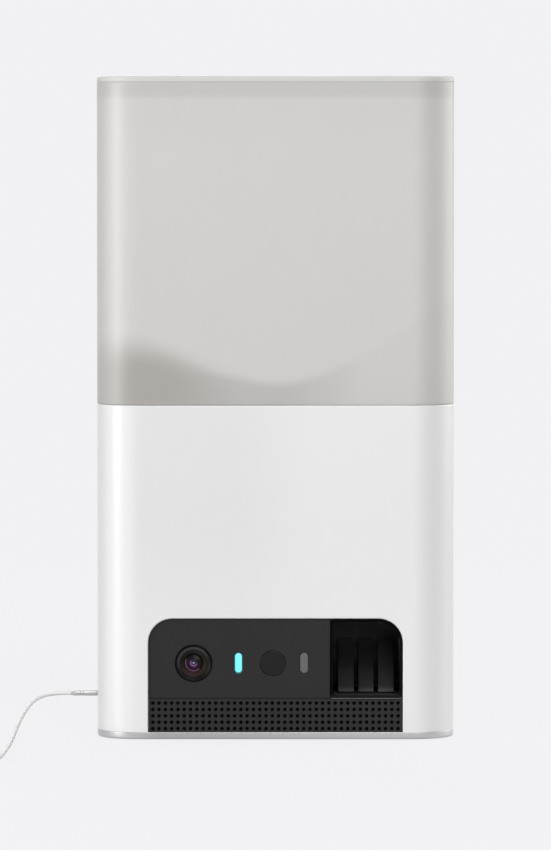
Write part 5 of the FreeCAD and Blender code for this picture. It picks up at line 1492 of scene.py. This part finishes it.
# ---------------------------------------------------------------- fasteners, feet and button


# A screw's head radius, head height and shank radius, in millimetres.
LARGE_SCREW, SMALL_SCREW = (2.2, 1.4, 1.15), (1.7, 1.1, 0.9)
# Which way a shank points: its tilt about x, its axis, and the end of its box that holds the head.
UP, DOWN = (0.0, 2, 0), (math.pi, 2, 1)
FORWARDS, BACKWARDS = (math.pi / 2, 1, 1), (-math.pi / 2, 1, 0)
SCREWS = {
    "base_screws": (UP, LARGE_SCREW),
    "bracket_screws": (UP, LARGE_SCREW),
    "deck_screws": (DOWN, LARGE_SCREW),
    "feed_motor_screws": (DOWN, SMALL_SCREW),
    "toss_strap_screws": (DOWN, SMALL_SCREW),
    "camera_board_screws": (FORWARDS, SMALL_SCREW),
    "main_board_screws": (BACKWARDS, SMALL_SCREW),
}


def screw_mesh(head_radius, head_height, shank_radius, size):
    """A pan head screw with a cross recess, head down at z 0 and its shank towards +z, in millimetres."""
    arm, half = head_radius * 0.52, head_radius * 0.13
    cross = [
        (arm, -half), (arm, half), (half, half), (half, arm), (-half, arm), (-half, half),
        (-arm, half), (-arm, -half), (-half, -half), (-half, -arm), (half, -arm), (half, -half),
    ]  # fmt: skip
    # The head's profile, as shares of its radius and its height.
    head = [(0.62, 0.0), (0.86, 0.14), (0.97, 0.4), (1.0, 0.7), (1.0, 1.0)]
    rings = [(head_radius * r, head_height * h) for r, h in head]
    rings.append((shank_radius, head_height))
    pitch = shank_radius * 0.8
    for k in range(int((size - head_height - shank_radius) / pitch)):
        low = head_height + pitch * k
        rings += [(shank_radius * 0.8, low + pitch * 0.3), (shank_radius, low + pitch * 0.8)]
    rings += [(shank_radius * 0.75, size - shank_radius * 0.7), (shank_radius * 0.2, size)]
    shape = bmesh.new()
    turns = skin(shape, [[(x * MM, y * MM, h * MM) for x, y in circle(r, 24)] for r, h in rings])
    shape.faces.new(turns[-1])
    recess = ((1.0, 0.0), (0.8, head_height * 0.55))
    mouth, floor = skin(shape, [[(x * s * MM, y * s * MM, h * MM) for x, y in cross] for s, h in recess])
    shape.faces.new(floor)
    rim = [
        shape.edges.get(pair)
        for ring in (turns[0], mouth)
        for pair in zip(ring, ring[1:] + ring[:1])
    ]
    bmesh.ops.bridge_loops(shape, edges=rim)
    bmesh.ops.recalc_face_normals(shape, faces=shape.faces)
    return mesh_from(shape)


class PETCAM_OT_screws(bpy.types.Operator):
    """Puts a screw with a cross recess in the place of every screw"""

    bl_idname = "petcam.screws"
    bl_label = "Screws"

    def execute(self, context):
        for node, ((tilt, axis, head_end), kind) in SCREWS.items():
            points = []
            for box in islands(node):
                point = (box[0] + box[1]) / 2
                point[axis] = box[head_end][axis]
                points.append(point)
            # A node's screws all have the same length, so the last one's box gives it.
            size = (box[1][axis] - box[0][axis]) / MM
            mesh = repeated(screw_mesh(*kind, size), points, "screw_steel", (tilt, 0.0, 0.0))
            add_piece(node + "_turned", mesh, node)
        return {"FINISHED"}


class PETCAM_OT_feet(bpy.types.Operator):
    """Makes the four rubber feet and the two threaded inserts of the wall mount"""

    bl_idname = "petcam.feet"
    bl_label = "Feet and mount inserts"

    def execute(self, context):
        foot = [
            (0.05, 0.35), (1.6, 0.35), (1.8, 0.05), (2.0, 0.0), (4.3, 0.0), (4.75, 0.12),
            (4.95, 0.4), (5.0, 0.8), (5.0, 1.5), (0.05, 1.5),
        ]  # fmt: skip
        boxes = islands("rubber_feet")
        points = [((low.x + high.x) / 2, (low.y + high.y) / 2, 0.0) for low, high in boxes]
        mesh = repeated(mesh_from(lathe(foot, (0, 0), "Z", 40)), points, "foot_rubber")
        add_piece("rubber_feet_moulded", mesh, "rubber_feet")

        boxes = islands("wall_mount_inserts")
        low, high = boxes[0]
        deep, outer = (high.y - low.y) / MM, (high.x - low.x) / MM / 2
        sleeve = [(outer - 0.15, 0.0), (outer, -0.15)]
        for knurl in range(5):
            y = -1.2 - 1.5 * knurl
            sleeve += [(outer, y), (outer - 0.25, y - 0.15), (outer - 0.25, y - 0.45), (outer, y - 0.6)]
        sleeve += [(outer, -deep + 0.1), (outer - 0.1, -deep), (1.75, -deep)]
        for thread in range(14):
            y = -deep + 0.3 + 0.6 * thread
            if y < -0.6:
                sleeve += [(1.65, y), (1.85, y + 0.3)]
        sleeve += [(1.65, -0.35), (2.0, 0.0)]
        points = [((low.x + high.x) / 2, high.y, (low.z + high.z) / 2) for low, high in boxes]
        mesh = mesh_from(lathe(sleeve, (0, 0), "Y", 40, closed=True))
        mesh = repeated(mesh, points, "insert_brass")
        add_piece("mount_inserts_turned", mesh, "wall_mount_inserts")
        return {"FINISHED"}


class PETCAM_OT_button(bpy.types.Operator):
    """Makes the dished set-up button"""

    bl_idname = "petcam.button"
    bl_label = "Set-up button"

    def execute(self, context):
        low, high = (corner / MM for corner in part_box("setup_button"))
        flange, stem, pole = (high.x - low.x) / 2, 3.0, 0.05
        cap = [(pole, -0.32), (0.9, -0.3), (1.7, -0.2), (2.2, -0.06), (2.45, 0.0), (2.75, -0.04)]
        cap += [(2.94, -0.18), (stem, -0.4)]
        profile = [(r, high.y + y) for r, y in cap]
        rest, under = BUTTON_WALL - 0.02, BUTTON_WALL - BUTTON_FLANGE
        profile += [(stem, rest), (flange, rest), (flange, under)]
        profile += [(stem, under - 0.02), (stem, low.y), (pole, low.y)]
        middle = ((low.x + high.x) / 2, (low.z + high.z) / 2)
        add_piece("setup_button_dished", mesh_from(lathe(profile, middle, "Y", 64)), "setup_button")
        return {"FINISHED"}


class PETCAM_OT_inner_parts(bpy.types.Operator):
    """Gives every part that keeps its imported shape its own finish"""

    bl_idname = "petcam.inner_parts"
    bl_label = "Inner parts' finishes"

    def execute(self, context):
        for node, made in frame["nodes"].items():
            for held in made.material_slots:
                held.material = FINISHES[SLOT_OF[node]]
        return {"FINISHED"}


# ---------------------------------------------------------------- the panel and the run


OPERATORS = (
    PETCAM_OT_stage,
    PETCAM_OT_finishes,
    PETCAM_OT_lead,
    PETCAM_OT_power_plug,
    PETCAM_OT_housing,
    PETCAM_OT_container,
    PETCAM_OT_lid,
    PETCAM_OT_fascia,
    PETCAM_OT_grille,
    PETCAM_OT_lens,
    PETCAM_OT_lights,
    PETCAM_OT_toss,
    PETCAM_OT_screws,
    PETCAM_OT_feet,
    PETCAM_OT_button,
    PETCAM_OT_inner_parts,
)


class PETCAM_PT_sidebar(bpy.types.Panel):
    """Lists the pieces in the order in which they are made, and what can be changed"""

    bl_idname = "PETCAM_PT_sidebar"
    bl_label = "Pet camera"
    bl_space_type = "VIEW_3D"
    bl_region_type = "UI"
    bl_category = "Pet Camera"

    def draw(self, context):
        for made in OPERATORS:
            self.layout.operator(made.bl_idname)
        own = context.scene.pet_camera
        for group in (own.casing, own.grille, own.lead, own.colours, own.studio):
            box = self.layout.box()
            for name in group.__annotations__:
                box.prop(group, name)


GROUPS = (CasingSizes, GrilleSizes, LeadSizes, FinishColours, StudioLevels, PetCameraSettings)


def register():
    for made in (*GROUPS, *OPERATORS, PETCAM_PT_sidebar):
        bpy.utils.register_class(made)
    bpy.types.Scene.pet_camera = PointerProperty(type=PetCameraSettings)


def unregister():
    del bpy.types.Scene.pet_camera
    for made in reversed((*GROUPS, *OPERATORS, PETCAM_PT_sidebar)):
        bpy.utils.unregister_class(made)


def main():
    register()
    for made in OPERATORS:
        getattr(bpy.ops.petcam, made.bl_idname.split(".")[1])()


if __name__ == "__main__":
    main()
